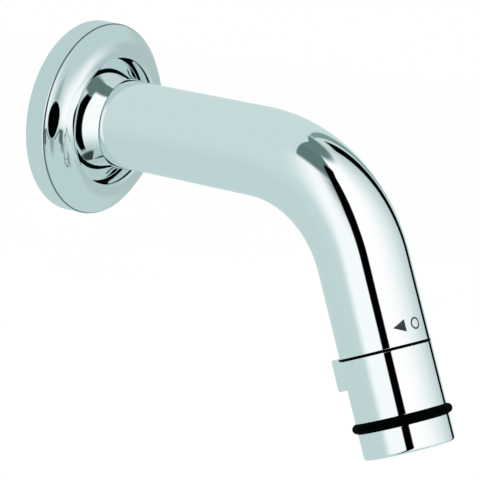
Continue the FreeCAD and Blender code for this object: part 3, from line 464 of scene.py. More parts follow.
polished = chrome("polished_chrome")[0]
inner_chrome = chrome("inner_chrome", haze=0.10, waviness=0.3)[0]
# The cover's chrome gets two rings of painted shade: a grey line in the crease where the edge band meets the dome,
# and a black band on the inside of the neck, just under the lip of the hole.
cover_chrome_painted_shade = chrome_with_painted_shade("cover_chrome_painted_shade", ((30.62, 30.88), (6.3, 9.0), (0.20, 0.25, 0.25)),
                             ((20.4, 20.72), (10.5, 11.45), (0.0, 0.003, 0.003)))

# %% [markdown]
# ## Bare metals
# Brass that water touches is turned but not plated, so it shows fine marks from the lathe tool. They are a
# noise squeezed along one direction of the frame, which makes narrow bands across it. Spring steel, strainer
# sheet and wire are drawn and pressed, and their marks run one way too.

# %% Bare metals
TURN_TO_WALL = (math.radians(-90), 0, 0)
TURN_TO_OUTLET = (-(math.pi / 2 + BEND_ANGLE), 0, 0)
BANDS = (40, 40, 5000)


def turned_metal(name, dark, light, turn, rough=0.24):
    material, tree, inputs = new_finish(name, Metallic=1.0)
    bands = cloud(place(tree, turn, BANDS), scale=1.0, detail=3.0)
    feed(inputs["Base Color"], blend(graded(cloud(place(tree), scale=160.0), 0, 1), dark, light))
    feed(inputs["Roughness"], graded(bands, rough, rough + 0.16))
    relief(inputs, bands, depth=0.00001, strength=0.6)
    return material


brass_shades = ((0.56, 0.38, 0.13), (0.74, 0.54, 0.22))
wall_brass = turned_metal("turned_brass_inlet", *brass_shades, TURN_TO_WALL)
valve_brass = turned_metal("turned_brass_valve", *brass_shades, TURN_TO_OUTLET)
wire_steel = turned_metal("stainless_wire", (0.46, 0.47, 0.48), (0.60, 0.61, 0.62), TURN_TO_OUTLET, 0.2)

# %% [markdown]
# ## Rubber, plastic, ceramic and fibre
# These are matt or lightly glossy and have a colour of their own. Rubber is almost black, with a dull grain.
# Moulded plastic has a soft orange-peel texture, lapped ceramic is creamy with faint specks, and the fibre
# gasket shows its matted threads. Each is the same recipe with its own scale, shades and depth of grain.

# %% Rubber, plastic, ceramic and fibre
def matt(name, dark, light, rough, grain=1500, depth=0.00001, gloss=0.5, stretch=(1, 1, 1)):
    material, tree, inputs = new_finish(name, Specular_IOR_Level=gloss)
    where = place(tree, stretch=stretch)
    fine = cloud(where, grain, detail=4.0)
    feed(inputs["Base Color"], blend(graded(cloud(where, grain / 8), 0, 1), dark, light))
    feed(inputs["Roughness"], graded(fine, rough, rough + 0.1))
    relief(inputs, fine, depth, strength=0.7)
    return material


black_rubber = matt("black_rubber", (0.0003, 0.0006, 0.0006), (0.0010, 0.0014, 0.0014), 0.60, 2600, 0.00002, 0.008)
mark_paint = matt("mark_paint", (0.028, 0.036, 0.036), (0.040, 0.050, 0.050), 0.45, 3000, 0.000004, 0.3)

# %% [markdown]
# ## Each solid gets its finish
# The CAD record names a material slot for every solid. This table gives each slot its finish, so that the inner
# pieces, which stay as the CAD made them, are dressed in one pass.

# %% Each solid gets its finish
FINISHES = {
    "polished_tube": polished, "polished_sleeve": polished, "polished_collar": polished,
    "polished_escutcheon": cover_chrome_painted_shade, "aerator_brass": inner_chrome, "bare_brass": wall_brass,
    "valve_brass": valve_brass, "stainless_mesh": wire_steel, "black_rubber": black_rubber,
    "spring_steel": turned_metal("spring_steel", (0.42, 0.43, 0.44), (0.56, 0.57, 0.58), TURN_TO_WALL, 0.22),
    "stainless_sheet": turned_metal("stainless_sheet", (0.50, 0.51, 0.52), (0.64, 0.65, 0.66), TURN_TO_WALL, 0.18),
    "grey_rubber": matt("grey_rubber", (0.070, 0.074, 0.074), (0.105, 0.110, 0.110), 0.6, 2200, 0.00002, 0.3),
    "fibre_gasket": matt("gasket_fibre", (0.030, 0.060, 0.040), (0.085, 0.120, 0.080), 0.8, 1800, 0.00006, 0.2,
                         (1, 0.2, 1)),
    "white_ceramic": matt("lapped_ceramic", (0.76, 0.73, 0.67), (0.84, 0.82, 0.78), 0.10, 5000, 0.000004),
    "white_slide_plastic": matt("slide_plastic", (0.78, 0.78, 0.76), (0.86, 0.86, 0.84), 0.42),
    "stop_plastic": matt("stop_plastic", (0.020, 0.021, 0.023), (0.036, 0.038, 0.042), 0.42),
    "aerator_plastic": matt("aerator_plastic", (0.55, 0.57, 0.57), (0.66, 0.68, 0.68), 0.36),
    "clear_grille": matt("grille_plastic", (0.44, 0.47, 0.48), (0.56, 0.59, 0.60), 0.34),
}
solids = frame["record"]["subparts"]
for part in solids:
    node = frame["nodes"][part["node"]]
    node.data.materials.clear()
    node.data.materials.append(FINISHES[part["material_slot"]])
print("solids dressed:", len(solids), "finishes:", len(FINISHES))

# %% [markdown]
# ## The spout
# The spout is one tube: a spigot for the collar, a mouth that flares slightly towards the wall, and a socket
# for the valve at its other end. On the lathe it is straight, 136 mm long. The tree bends it as it is placed,
# so the wall thickness stays even round the bend.

# %% The spout
SPIGOT_END, MOUTH, BORE, SPIGOT, SOCKET = 10.4, 16.0, 7.5, 11.9, 10.5
FLARE_LENGTH = SOCKET_DEPTH = 14.0
SPOUT_END = TUBE_END - 0.15
spout = turned("spout_skin", [
    (9.1, SPIGOT_END), (SPIGOT, SPIGOT_END), (SPIGOT, 11.4), (11.2, 11.4), (11.2, 12.6), (SPIGOT, 12.6),
    (SPIGOT, MOUTH), (TUBE_RADIUS + 0.5, MOUTH, -196.0), (TUBE_RADIUS, MOUTH + FLARE_LENGTH),
    (TUBE_RADIUS, SPOUT_END), (SOCKET, SPOUT_END), (SOCKET, TUBE_END - SOCKET_DEPTH),
    (BORE, TUBE_END - SOCKET_DEPTH), (BORE, SPIGOT_END + 0.5), (9.1, SPIGOT_END + 0.5),
], polished, soft=0.1, step=1.2)
settle(spout, TAP, "polished_tube", "spout_body")

# %% [markdown]
# ## The cover and the collar
# The cover is a thin spun shell: an edge band, a small cove, a dome, and a neck that runs back inside the
# hole. The collar under it draws the spout onto the wall. Its long hollow flare ends in a narrow nose against
# the tube, and it has two spanner flats at the back, which the tree mills by holding the mesh inside a limit.

# %% The cover and the collar
cover_piece = turned("cover_skin", [
    (29.5, 0), (31.0, 0), (31.0, 6.3, 1.0), (30.5, 7.17, -5.7), (28.88, 8.56, 8.38), (20.6, 11.55),
    (20.6, 4.7), (22.1, 4.7), (22.1, 10.05, -6.0), (27.24, 8.0), (29.5, 5.55),
], cover_chrome_painted_shade, soft=0.12, around=256)
settle(cover_piece, TAP, "polished_escutcheon", "escutcheon")

collar = turned("collar_skin", [
    (15.0, 0.8), (19.2, 0.8), (19.2, 5.0), (17.9, 5.0), (17.9, 6.6), (20.0, 6.6), (20.0, 7.1, 0.4),
    (19.6, 7.5, -16.4), (14.2, 15.7), (12.1, 15.7), (12.1, 12.65), (13.28, 12.65), (13.28, 3.4), (15.0, 3.4),
], polished, soft=0.12, around=224, Flat_Reach=16.8, Flat_End=4.0)
settle(collar, TAP, "polished_collar", "union_collar")

# %% [markdown]
# ## The inlet nipple and its thread
# The nipple screws into the wall fitting with a half-inch pipe thread: fourteen turns to the inch, rounded at
# the crest and the root. In the CAD it is a plain cylinder. The lathe tree cuts the thread by one more rule,
# which lowers the skin by a cosine that winds up the cylinder once for each pitch and runs out at both ends.

# %% The inlet nipple and its thread
nipple = turned("nipple_skin", [
    (6.0, -15.0), (9.58, -15.0), (10.48, -14.1), (10.48, 0), (14.6, 0), (14.6, 2.9), (13.2, 2.9), (13.2, 8.0),
    (12.3, 8.9), (6.0, 8.9),
], wall_brass, soft=0.1, step=0.16, around=112, Thread_Radius=10.2, Thread_Depth=1.16, Thread_Pitch=1.814,
    Thread_From=-15.2, Thread_To=0.2)
settle(nipple, TAP, "bare_brass", "inlet_nipple")

# %% [markdown]
# ## The turning sleeve
# The sleeve is what the hand turns. Its skirt hides the valve's neck, a web in the middle carries the splines,
# and the chamber below holds the aerator. The parts that stand on it aren't turned, so they are made apart: the
# stop rib and the spline keys by a tree that repeats a block round the axis, and the lug as a rounded block.

# %% The turning sleeve
RING_AT, RING_MIDDLE, RING_SECTION, GROOVE_HALF = 21.3, 13.95, 1.45, 1.55
sleeve = turned("sleeve_skin", [
    (12.2, 0.68), (14.0, 0.68), (14.0, RING_AT - GROOVE_HALF), (12.45, RING_AT - GROOVE_HALF),
    (12.45, RING_AT + GROOVE_HALF), (14.0, RING_AT + GROOVE_HALF), (14.0, 30.0, 1.0), (13.0, 31.0), (12.0, 31.0),
    (12.0, 24.5), (10.9, 24.5), (10.9, 13.8), (6.2, 13.8), (6.2, 9.8), (12.2, 9.8),
], polished, start=TUBE_END, soft=0.12, step=1.2)
settle(sleeve, OUTLET, "polished_sleeve", "turning_sleeve")

ring = turned("grip_ring_skin", [
    (RING_MIDDLE + RING_SECTION * across, RING_AT + RING_SECTION * along, RING_SECTION)
    for across, along in ((-1, 0), (0, -1), (1, 0), (0, 1))
], black_rubber, start=TUBE_END)
settle(ring, OUTLET, "black_rubber", "grip_ring")

# %% [markdown]
# ## Keys and a rib round the bore
# Eight spline keys stand in the sleeve's web, and one wide rib meets the stops. They are the same idea: a block
# at some distance from the axis, turned about it a number of times. The tree pushes a small block outward and
# turns a copy of it for each place, so a change of the count or the radius moves them all at once.

# %% Keys and a rib round the bore
EDGE_BREAK = 0.12


def make_ring_of_blocks():
    tree, given, result = new_group(
        "blocks_round_a_bore", Start="Geometry", Count="Int", Radius="Float", First="Float", Block="Vector",
        Along="Float", Finish="Material")
    places = add(tree, "GeometryNodeMeshLine", mode="OFFSET", Offset=(0, 0, 0), Count=given["Count"])
    block = add(tree, "GeometryNodeMeshCube", Size=given["Block"])
    arm = add(tree, "GeometryNodeTransform", Geometry=block, Translation=vector(tree, x=given["Radius"]))
    facing = times(add(tree, "GeometryNodeInputIndex"), over(2 * math.pi, given["Count"]))
    copies = add(tree, "GeometryNodeInstanceOnPoints", Points=places, Instance=arm, Rotation=vector(tree, z=facing))
    moved = add(tree, "GeometryNodeTransform", Geometry=copies, Translation=vector(tree, z=given["Along"]),
                Rotation=vector(tree, z=given["First"]))
    end_tree(moved, given["Finish"], result, smooth=False)
    return tree


BLOCKS = make_ring_of_blocks()


def blocks(name, count, radius, size, along, first=0.0):
    piece = bake(start_mesh(name), BLOCKS, Count=count, Radius=radius * MM, First=math.radians(first),
                 Block=tuple(s * MM for s in size), Along=along * MM, Finish=valve_brass)
    piece.data.transform(AT_OUTLET)
    rounding = piece.modifiers.new("edge_break", "BEVEL")
    rounding.width, rounding.segments = EDGE_BREAK * MM, 2
    settle(freeze(piece), OUTLET, "polished_sleeve")


blocks("spline_keys", 8, 5.88, (0.9, 1.2, 4.0), 11.8)
blocks("stop_rib", 1, 11.6, (1.9, 5.4, 7.0), 6.3, 45.0)

# %% [markdown]
# ## The lug
# The small lug at the back of the sleeve is the handle. It is part of the same casting and polished with it, so
# its outer edges are rounded over. A block whose outer edges are bevelled, and whose inner side sinks a little
# into the sleeve, gives that shape. Its upper lip stands beside the tube, a hair away from it.

# %% The lug
def round_over(shape, edges, offset, segments):
    bmesh.ops.bevel(shape, geom=edges, offset=offset * MM, segments=segments, profile=0.5, affect="EDGES")


def make_lug():
    half, inner, shoulder, outer = 4.0, 13.6, 14.4, 17.6
    lip, top, bottom = -0.4, 0.5, 9.4
    least_turn, largest_rounded_face = 0.9, 2 * MM * MM
    shape = bmesh.new()
    side = [(-inner, top), (-inner, bottom), (-outer, bottom), (-outer, lip), (-shoulder, lip), (-shoulder, top)]
    rings = [[shape.verts.new((x * MM, y * MM, z * MM)) for y, z in side] for x in (-half, half)]
    left, right = rings
    shape.faces.new(left)
    shape.faces.new(right)
    for k in range(len(side)):
        after = (k + 1) % len(side)
        shape.faces.new([left[k], left[after], right[after], right[k]])
    bmesh.ops.recalc_face_normals(shape, faces=shape.faces)
    round_over(shape, [e for e in shape.edges if all(v.co.y < -(outer - 0.01) * MM for v in e.verts)], 1.0, 8)
    round_over(shape, [e for e in shape.edges if e.is_manifold and e.calc_face_angle(0) > least_turn
                       and all(v.co.y < -(shoulder - 0.2) * MM for v in e.verts)], 0.25, 4)
    bmesh.ops.transform(shape, matrix=AT_OUTLET, verts=shape.verts)
    mesh = bpy.data.meshes.new("turning_lug")
    shape.to_mesh(mesh)
    shape.free()
    for face in mesh.polygons:
        face.use_smooth = face.area < largest_rounded_face
    mesh.materials.append(polished)
    return put("turning_lug", mesh)


settle(make_lug(), OUTLET, "polished_sleeve")

# %% [markdown]
# ## The dark lines at both ends of the tube
# A thin black ring lies in the gap above the sleeve as painted shade: it stands for the shadow in the gap, so
# nothing bright shows through. A thinner one, also painted shade, lies between the collar's nose and the tube's
# mouth. Each keeps clear of the tube by a few hundredths of a millimetre.

# %% The dark lines at both ends of the tube
# Each ring is painted shade: a black piece that stands for the shadow in its gap.
for name, inner, outer, low, high, start, body in (
        ("gap_shade_ring", 11.9, 13.92, -0.11, 0.64, TUBE_END, OUTLET),
        ("mouth_shade_ring", 12.15, 14.25, 15.73, 15.97, 0.0, TAP)):
    corners = [(inner, low), (outer, low), (outer, high), (inner, high)]
    settle(turned(name, corners, black_rubber, start=start, soft=0.03), body, "stop_plastic")

# %% [markdown]
# ## Woven screens
# Two round pieces of steel cloth lie in the aerator and mix air into the water. Each wire passes over one
# neighbour and under the next. The tree draws one family of wires as wavy curves cut to the circle, gives them
# a round section, and then lays a second family across the first with the waves the other way up.

# %% Woven screens
def make_cloth():
    tree, given, result = new_group(
        "woven_screen", Start="Geometry", Radius="Float", Pitch="Float", Wire="Float", Finish="Material")
    radius, pitch, wire = given["Radius"], given["Pitch"], given["Wire"]
    x, y, _ = parts_of(add(tree, "GeometryNodeInputPosition"))
    rows = number("FLOOR", over(radius, pitch))
    first, last = (vector(tree, y=times(times(rows, pitch), way)) for way in (-1.0, 1.0))
    points = add(tree, "GeometryNodeMeshLine", mode="END_POINTS", Count=times_plus(rows, 2.0, 1.0),
                 Start_Location=first, Offset=last)
    straight = add(tree, "GeometryNodeCurvePrimitiveLine", Start=(-1, 0, 0), End=(1, 0, 0))
    half = number("SQRT", most(minus(times(radius, radius), times(y, y)), 1e-9))
    copies = add(tree, "GeometryNodeInstanceOnPoints", Points=points, Instance=straight,
                 Scale=vector(tree, half, 1.0, 1.0))
    lines = add(tree, "GeometryNodeRealizeInstances", Geometry=copies)
    fine = add(tree, "GeometryNodeResampleCurve", mode="LENGTH", Curve=lines, Length=over(pitch, 4.0))
    phase = times(plus(over(x, pitch), number("ROUND", over(y, pitch))), math.pi)
    wavy = add(tree, "GeometryNodeSetPosition", Geometry=fine,
               Offset=vector(tree, z=times(number("COSINE", phase), wire)))
    section = add(tree, "GeometryNodeCurvePrimitiveCircle", Resolution=6, Radius=wire)
    cloth = add(tree, "GeometryNodeCurveToMesh", Curve=wavy, Profile_Curve=section, Fill_Caps=True)
    both = add(tree, "GeometryNodeJoinGeometry", Geometry=cloth)
    feed(both.inputs[0], add(tree, "GeometryNodeTransform", Geometry=cloth, Rotation=(math.pi, 0, math.pi / 2)))
    end_tree(both, given["Finish"], result)
    return tree


CLOTH = make_cloth()
for screen, height in (("upper_screen", 24.25), ("lower_screen", 25.65)):
    piece = bake(start_mesh(screen + "_cloth"), CLOTH, Radius=7.9 * MM, Pitch=0.75 * MM, Wire=0.12 * MM,
                 Finish=wire_steel)
    piece.data.transform(AT_OUTLET @ Matrix.Translation((0, 0, height * MM)))
    settle(piece, OUTLET, "stainless_mesh", screen)

# %% [markdown]
# ## The printed marks
# A filled triangle points to where the sleeve turns, and a ring marks the closed place. They are printed on the
# tube, so they follow its round surface. The tree takes a flat shape that is drawn on paper, wraps it on a
# cylinder, and lays it along the tube. The print has a real thickness, two hundredths of a millimetre.

# %% The printed marks
def make_print():
    tree, given, result = new_group("printed_mark", Flat="Geometry", Radius="Float", Finish="Material")
    x, y, z = parts_of(add(tree, "GeometryNodeInputPosition"))
    angle, reach = over(x, given["Radius"]), plus(given["Radius"], z)
    line = add(tree, "GeometryNodeGroup", node_tree=LINE, Across=times(reach, number("SINE", angle)),
               Upward=times(reach, number("COSINE", angle)), Along=y)
    end_tree(add(tree, "GeometryNodeSetPosition", Geometry=given["Flat"], Position=line), given["Finish"], result)
    return tree


PRINT = make_print()
PRINT_DEPTH = 0.02


def printed(name, rows, closed=True):
    """Wraps a flat strip on the tube. Each row holds the inner and the outer point of the strip."""
    points, faces, count = [], [], len(rows)
    for inner, outer in rows:
        points += [(*inner, 0), (*outer, 0), (*inner, PRINT_DEPTH), (*outer, PRINT_DEPTH)]
    for k in range(count if closed else count - 1):
        a, b = 4 * k, 4 * ((k + 1) % count)
        faces += [(a + 2, b + 2, b + 3, a + 3), (a, a + 1, b + 1, b)]
        faces += [(a + 1, a + 3, b + 3, b + 1), (a, b, b + 2, a + 2)]
    if not closed:
        faces += [(4 * k, 4 * k + 1, 4 * k + 3, 4 * k + 2) for k in (0, count - 1)]
    piece = start_mesh(name, [(x * MM, y * MM, z * MM) for x, y, z in points], faces)
    bake(piece, PRINT, Radius=TUBE_RADIUS * MM, Finish=mark_paint)
    joined = bmesh.new()
    joined.from_mesh(piece.data)
    bmesh.ops.remove_doubles(joined, verts=joined.verts, dist=1e-7)
    bmesh.ops.recalc_face_normals(joined, faces=joined.faces)
    joined.to_mesh(piece.data)
    joined.free()
    settle(piece, TAP, "stop_plastic")


MARK_LINE = TUBE_END - 5.6
RING_MARK_AT, RING_MARK_RADII = -2.5, (1.32, 1.84)
ARROW_TIP, ARROW_BASE, ARROW_HALF_BASE = -10.6, -6.44, 1.9
printed("closed_mark", [
    [(RING_MARK_AT + r * math.cos(t), MARK_LINE + r * math.sin(t)) for r in RING_MARK_RADII]
    for t in (2 * math.pi * k / 48 for k in range(48))])
printed("turning_mark", [
    [(ARROW_TIP + (ARROW_BASE - ARROW_TIP) * s, MARK_LINE + ARROW_HALF_BASE * s * side) for side in (-1, 1)]
    for s in (k / 16 for k in range(17))], closed=False)

# %% [markdown]
# ## The studio tents
# What chrome shows is the room round it. Small shiny goods are photographed in a white tent with a gap for the
# camera, so the studio here is a round tent, 0.65 m in radius. It has a real distance because the two ends of
# the tap look at it from different places. Its paint is placed by two angles seen from its middle: how far
# round, from -180 to 180 degrees, and how far above the horizon, from -90 to 90.

# %% The studio tents
TENT_MIDDLE = (0.0, -0.0638, -0.0287)


def raise_tent(name, radius, lit_pieces, see_through):
    """A round tent that lights only the pieces given. Mirrored rays pass it if it is see-through."""
    mesh = bpy.data.meshes.new(name)
    shape = bmesh.new()
    bmesh.ops.create_icosphere(shape, subdivisions=5, radius=radius, matrix=Matrix.Translation(TENT_MIDDLE))
    bmesh.ops.reverse_faces(shape, faces=shape.faces)
    shape.to_mesh(mesh)
    shape.free()
    tent = put(name, mesh)
    tent.visible_camera = tent.visible_diffuse = tent.visible_transmission = tent.visible_shadow = False
    tent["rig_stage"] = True
    lit = bpy.data.collections.new(name + "_lights")
    for piece in lit_pieces:
        lit.objects.link(piece)
    tent.light_linking.receiver_collection = lit

    cloth = bpy.data.materials.new(name + "_paint")
    mesh.materials.append(cloth)
    tree = fresh_tree(cloth)
    glow = add(tree, "ShaderNodeEmission")
    surface = add(tree, "ShaderNodeAddShader")
    feed(surface.inputs[0], glow)
    if see_through:
        feed(surface.inputs[1], add(tree, "ShaderNodeBsdfTransparent"))
    add(tree, "ShaderNodeOutputMaterial", Surface=surface)

    own = add(tree, "ShaderNodeTexCoord").outputs["Object"]
    from_middle = number("SUBTRACT", own, TENT_MIDDLE, kind="ShaderNodeVectorMath")
    x, y, z = parts_of(number("NORMALIZE", from_middle, kind="ShaderNodeVectorMath"))
    turn, rise = number("ARCTAN2", x, times(y, -1.0)), number("ARCSINE", z)
    print(name, len(mesh.polygons), "faces, lights", len(lit_pieces), "pieces")
    return glow.inputs["Color"], times(turn, 180 / math.pi), times(rise, 180 / math.pi)

# %% [markdown]
# ## Brushes for the tents
# A stroke of paint has a colour and two windows, one for how far round and one for how far up. A window is two
# limits and the softness of each. OPEN leaves a side without a limit, and a limit may also be a leaning line.
# Each colour is written as it should look in polished chrome on a screen, from 0 to 255. The helper turns it
# into light and divides by the chrome's own cast.

# %% Brushes for the tents
OPEN = None
ANYWHERE = (OPEN, OPEN, 0, 0)
DARK = (0, 6, 5)
SCREEN_GAMMA = 2.2


def shows(screen):
    return tuple((v / 255) ** SCREEN_GAMMA / cast for v, cast in zip(screen, CAST))


def step(value, at, soft):
    """0 below a limit and 1 above it, with a soft edge. The limit may be a number or a line."""
    if isinstance(at, (int, float)):
        return spread(value, at - soft, at + soft, 0, 1, "SMOOTHSTEP")
    return spread(minus(value, at), -soft, soft, 0, 1, "SMOOTHSTEP")


def window(value, low, high, soft_low, soft_high):
    """The masks of the limits that a window has."""
    masks = [] if low is OPEN else [step(value, low, soft_low)]
    return masks if high is OPEN else masks + [minus(1.0, step(value, high, soft_high))]


def leaning_line(above, *stops):
    """The direction of an upright edge, given as (degrees above the horizon, degrees round)."""
    curve = add(above.id_data, "ShaderNodeFloatCurve", Value=times_plus(above, 1 / 180, 0.5))
    line = curve.mapping.curves[0]
    while len(line.points) < len(stops):
        line.points.new(0.5, 0.5)
    for point, (height, turn) in zip(line.points, stops):
        point.location, point.handle_type = ((height + 90) / 180, (turn + 180) / 360), "VECTOR"
    curve.mapping.update()
    return times_plus(curve, 360.0, -180.0)


def paint_tent(glow, around, above, ground, *strokes):
    """Lays strokes over a ground colour. Besides its windows a stroke may bring masks of its own."""
    paint = shows(ground)
    for colour, turns, heights, *masks in strokes:
        masks += window(around, *turns) + window(above, *heights)
        paint = blend(reduce(times, masks), paint, shows(colour) if isinstance(colour, tuple) else colour)
    feed(glow, paint)


print("chrome shows white where the tent is", tuple(round(v, 3) for v in shows((255, 255, 255))))

# %% [markdown]
# ## The tent round the tube
# It is pale blue-grey behind, and lit as two white panels in front. The right one fades as it runs away from the
# camera. Both lose their light slowly below the horizon. Between them is the dark gap that the camera looks
# through, and a second gap runs up on the far right. Their edges lean a little, so each is given as a line.
# These gaps draw the black streaks down the bend, which say "polished metal" more than the white does.

# %% The tent round the tube
FADE_FROM, FADE_TO = -48.0, 73.0
others = [piece for piece in scene.objects
          if piece.type == "MESH" and piece not in (cover_piece, collar) and not piece.get("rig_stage")]
glow, around, above = raise_tent("studio_tent", 0.65, others, see_through=True)

fade = add(glow.id_data, "ShaderNodeValToRGB", Fac=spread(around, FADE_FROM, FADE_TO, 0, 1))
stops = ((-48, (255, 255, 255)), (-20, (254, 255, 255)), (0, (245, 249, 250)), (30, (222, 234, 235)),
         (55, (200, 214, 216)), (73, (180, 202, 203)))
while len(fade.color_ramp.elements) < len(stops):
    fade.color_ramp.elements.new(0.5)
for element, (turn, screen) in zip(fade.color_ramp.elements, stops):
    element.position, element.color = (turn - FADE_FROM) / (FADE_TO - FADE_FROM), (*shows(screen), 1)

left_edge = leaning_line(above, (-90, -105), (-5, -104), (15, -102), (30, -100), (50, -98), (90, -98))
gap_left = leaning_line(
    above, (-90, -61), (8, -62), (17, -65), (30, -68), (50, -67.5), (62, -66), (66, -60), (90, -60))
gap_right = leaning_line(
    above, (-90, -44), (9, -44.5), (17, -45.5), (30, -49), (50, -50), (58, -51), (64, -46), (90, -46))
paint_tent(
    glow, around, above, (187, 209, 209),
    ((195, 216, 216), ANYWHERE, (-10, OPEN, 25, 0)),
    (fade, (-50, 73, 1, 2), (-32, 74, 22, 3)),
    ((244, 250, 252), (left_edge, -62, 11, 1), (-32, 49, 22, 5)),
    ((90, 110, 110), (-100, -62, 1, 1), (32, 49, 20, 5), spread(around, -84, -70, 0, 0.8)),
    ((92, 118, 116), (-99, -50, 0.7, 2), (50, OPEN, 3.5, 0)),
    ((98, 124, 122), (-99, 104, 1, 3), (76, OPEN, 3, 0)),
    (DARK, (gap_left, gap_right, 1.2, 1.2), (-60, 66, 8, 1.5)),
    (DARK, (72.5, 88.5, 1, 1), (-30, 63, 8, 2)),
    ((120, 150, 146), (93, 101.5, 1.2, 1.2), (8, 74, 6, 6)),
)

# %% [markdown]
# ## The tent round the collar
# The collar and the cover get calmer tents of their own, as a photographer would shade each part of a catalogue
# picture with separate cards. The collar sees a white card with a black edge, grey cards overhead, and two dark
# patches far below.

# %% The tent round the collar
glow, around, above = raise_tent("collar_tent", 0.655, [collar], see_through=True)
paint_tent(
    glow, around, above, (168, 192, 192),
    ((190, 210, 210), ANYWHERE, (-50, OPEN, 25, 0)),
    ((247, 252, 253), (-112, -62.5, 8, 1.2), (-38, OPEN, 26, 0)),
    ((92, 116, 114), (-178, -30, 8, 2), (62, OPEN, 4, 0)),
    ((92, 116, 114), (-59, 30, 2, 20), (50, OPEN, 3, 0)),
    ((50, 68, 66), (-95, 0, 6, 20), (OPEN, -66, 0, 4)),
    ((62, 82, 80), (OPEN, -156, 0, 8), (OPEN, -66, 0, 4)),
    (DARK, (-62.5, -44, 1.2, 2), (-60, 50, 5, 4)),
)

# %% [markdown]
# ## The tent round the cover
# The cover sees a soft white glow and a few grey strokes, and the camera's gap as one dark oval. Its cove
# squeezes the oval into a black almond. This tent is the outermost, so it lets no mirrored ray pass.

# %% The tent round the cover
glow, around, above = raise_tent("cover_tent", 0.66, [cover_piece], see_through=False)
slope = minus(above, times(around, 0.5))
oval = leaning_line(
    above, (-90, -60), (-21, -58), (-18, -44), (-13, -35), (-6, -28), (1, -26), (8, -31), (15, -42), (19, -54),
    (22, -60), (90, -60))
paint_tent(
    glow, around, above, (182, 205, 206),
    ((170, 192, 192), (50, 118, 8, 8), (-28, 24, 8, 8)),
    ((249, 253, 254), (-26, 42, 24, 16), (-9, 25, 9, 22)),
    ((246, 251, 252), (-112, -80, 4, 4), (-40, 40, 14, 12)),
    ((150, 170, 169), (-56, -42, 2, 8), (18, 44, 3, 14)),
    ((132, 152, 150), (-12, 27, 3, 3), (-26, -17.5, 1.5, 1.5)),
    ((88, 106, 104), (-21, -2, 3, 3), (-21, -9.5, 2, 1)),
    ((70, 88, 86), (-41, -18, 1, 2), ANYWHERE, *window(slope, -1, 1, 0.6, 0.6)),
    ((140, 162, 160), (-60, -44, 2, 6), (-36, -18, 10, 2)),
    (DARK, (-61, oval, 1, 1.5), ANYWHERE),
)

# %% [markdown]
# ## Light and background
# Only mirrored rays meet the tents. The camera, and rays through clear parts, see a white world, as in a cut-out
# catalogue picture. Matt parts are lit by an even, slightly duller white, and one soft lamp gives them shape.

# %% Light and background
def direct_rays(rays):
    """1 for rays that come straight from the camera or through a clear part."""
    return most(rays["Is Camera Ray"], rays["Is Transmission Ray"])


world = bpy.data.worlds.new("studio")
scene.world = world
air = fresh_tree(world)
rays = add(air, "ShaderNodeLightPath").outputs
even = add(air, "ShaderNodeBackground", Color=(0.72, 0.73, 0.73, 1))
seen = add(air, "ShaderNodeBackground", Color=(1, 1, 1, 1))
whole = add(air, "ShaderNodeMixShader")
for socket, value in zip(whole.inputs, (most(direct_rays(rays), rays["Is Glossy Ray"]), even, seen)):
    feed(socket, value)
add(air, "ShaderNodeOutputWorld", Surface=whole)

LAMP_AIM = Vector((0, -0.06, -0.03))
lamp_data = bpy.data.lights.new("soft_key", "AREA")
lamp_data.energy, lamp_data.size = 9.0, 0.8
lamp = put("soft_key", lamp_data)
lamp.location = (-0.6, -0.9, 1.1)
lamp.rotation_euler = (LAMP_AIM - lamp.location).to_track_quat("-Z", "Y").to_euler()
lamp.visible_glossy = False
print("lamp:", lamp_data.energy, "W, softened over", lamp_data.size, "m")

# %% [markdown]
# ## The floor
# The floor is pale and plain. The camera sees it as white except where the tap shades it, because a little of
# it is real matt paint and the rest glows just enough to make up white. The tents already hold what chrome
# mirrors from below, so mirrored rays pass the floor by.

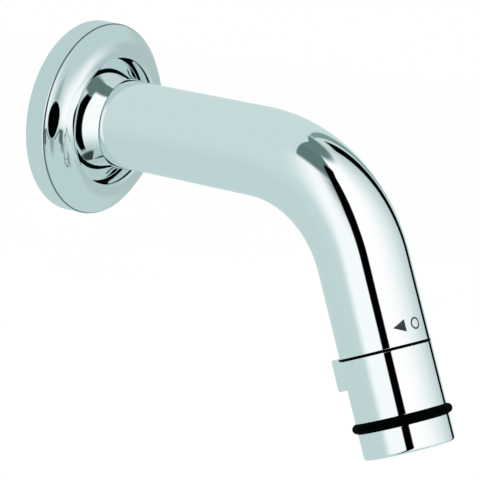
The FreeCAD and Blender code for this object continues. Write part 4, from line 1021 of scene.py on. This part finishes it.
# %% The floor
FLOOR_DROP, FLOOR_RADIUS, FLOOR_CORNERS = 0.30, 3.0, 64
PAINT_SHARE, PAINT_DRIFT, LIT_SHARE = 0.30, 0.01, 0.8
turns = [2 * math.pi * k / FLOOR_CORNERS for k in range(FLOOR_CORNERS)]
rim = [(FLOOR_RADIUS * math.cos(t), FLOOR_RADIUS * math.sin(t), -FLOOR_DROP) for t in turns]
floor = start_mesh("studio_floor", rim, [tuple(range(FLOOR_CORNERS))])
finish, tree, inputs = new_finish(
    "studio_floor", Roughness=0.9, Specular_IOR_Level=0.0, Emission_Color=(1, 1, 1, 1))
tone = graded(cloud(place(tree), scale=6.0), 0, 1)
feed(inputs["Base Color"], blend(tone, (PAINT_SHARE,) * 3, (PAINT_SHARE + PAINT_DRIFT,) * 3))
direct = direct_rays(add(tree, "ShaderNodeLightPath").outputs)
feed(inputs["Emission Strength"], times(direct, 1.0 - PAINT_SHARE * LIT_SHARE))
floor.data.materials.append(finish)
floor.visible_glossy = False
floor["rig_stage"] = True

# %% [markdown]
# ## The camera
# The camera's place was found by matching the outline of the tube and the rim of the cover in the photograph.
# It stands to the left and a little above the tap, a good distance away, and leans slightly.

# %% The camera
SENSOR_MM, PICTURE_PIXELS, FOCAL_PIXELS, CAMERA_DISTANCE = 36.0, 480, 2326.1, 723.29
azimuth, elevation, lean = (math.radians(angle) for angle in (-57.13, 10.58, 6.29))
level = Vector((math.cos(azimuth), math.sin(azimuth), 0))
back = Vector((math.sin(azimuth) * math.cos(elevation), -math.cos(azimuth) * math.cos(elevation),
               math.sin(elevation)))
upright = back.cross(level)
right = math.cos(lean) * level + math.sin(lean) * upright
upward = -math.sin(lean) * level + math.cos(lean) * upright
aim = Vector((0, -63.77, -28.71)) * MM
camera_data = bpy.data.cameras.new("camera")
camera_data.sensor_width, camera_data.clip_start = SENSOR_MM, 0.01
camera_data.lens = FOCAL_PIXELS / PICTURE_PIXELS * SENSOR_MM
camera = put("camera", camera_data)
facing = Matrix((right, upward, back)).transposed().to_4x4()
camera.matrix_world = Matrix.Translation(aim + back * CAMERA_DISTANCE * MM) @ facing
scene.camera = camera
print("camera", tuple(round(v, 3) for v in camera.location), "lens", round(camera_data.lens, 1), "mm")

# %% [markdown]
# ## Measure the sizes and finish
# The picture shows colours plainly, with no film look.

# %% Measure the sizes and finish
scene.view_settings.view_transform = "Standard"
low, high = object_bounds()
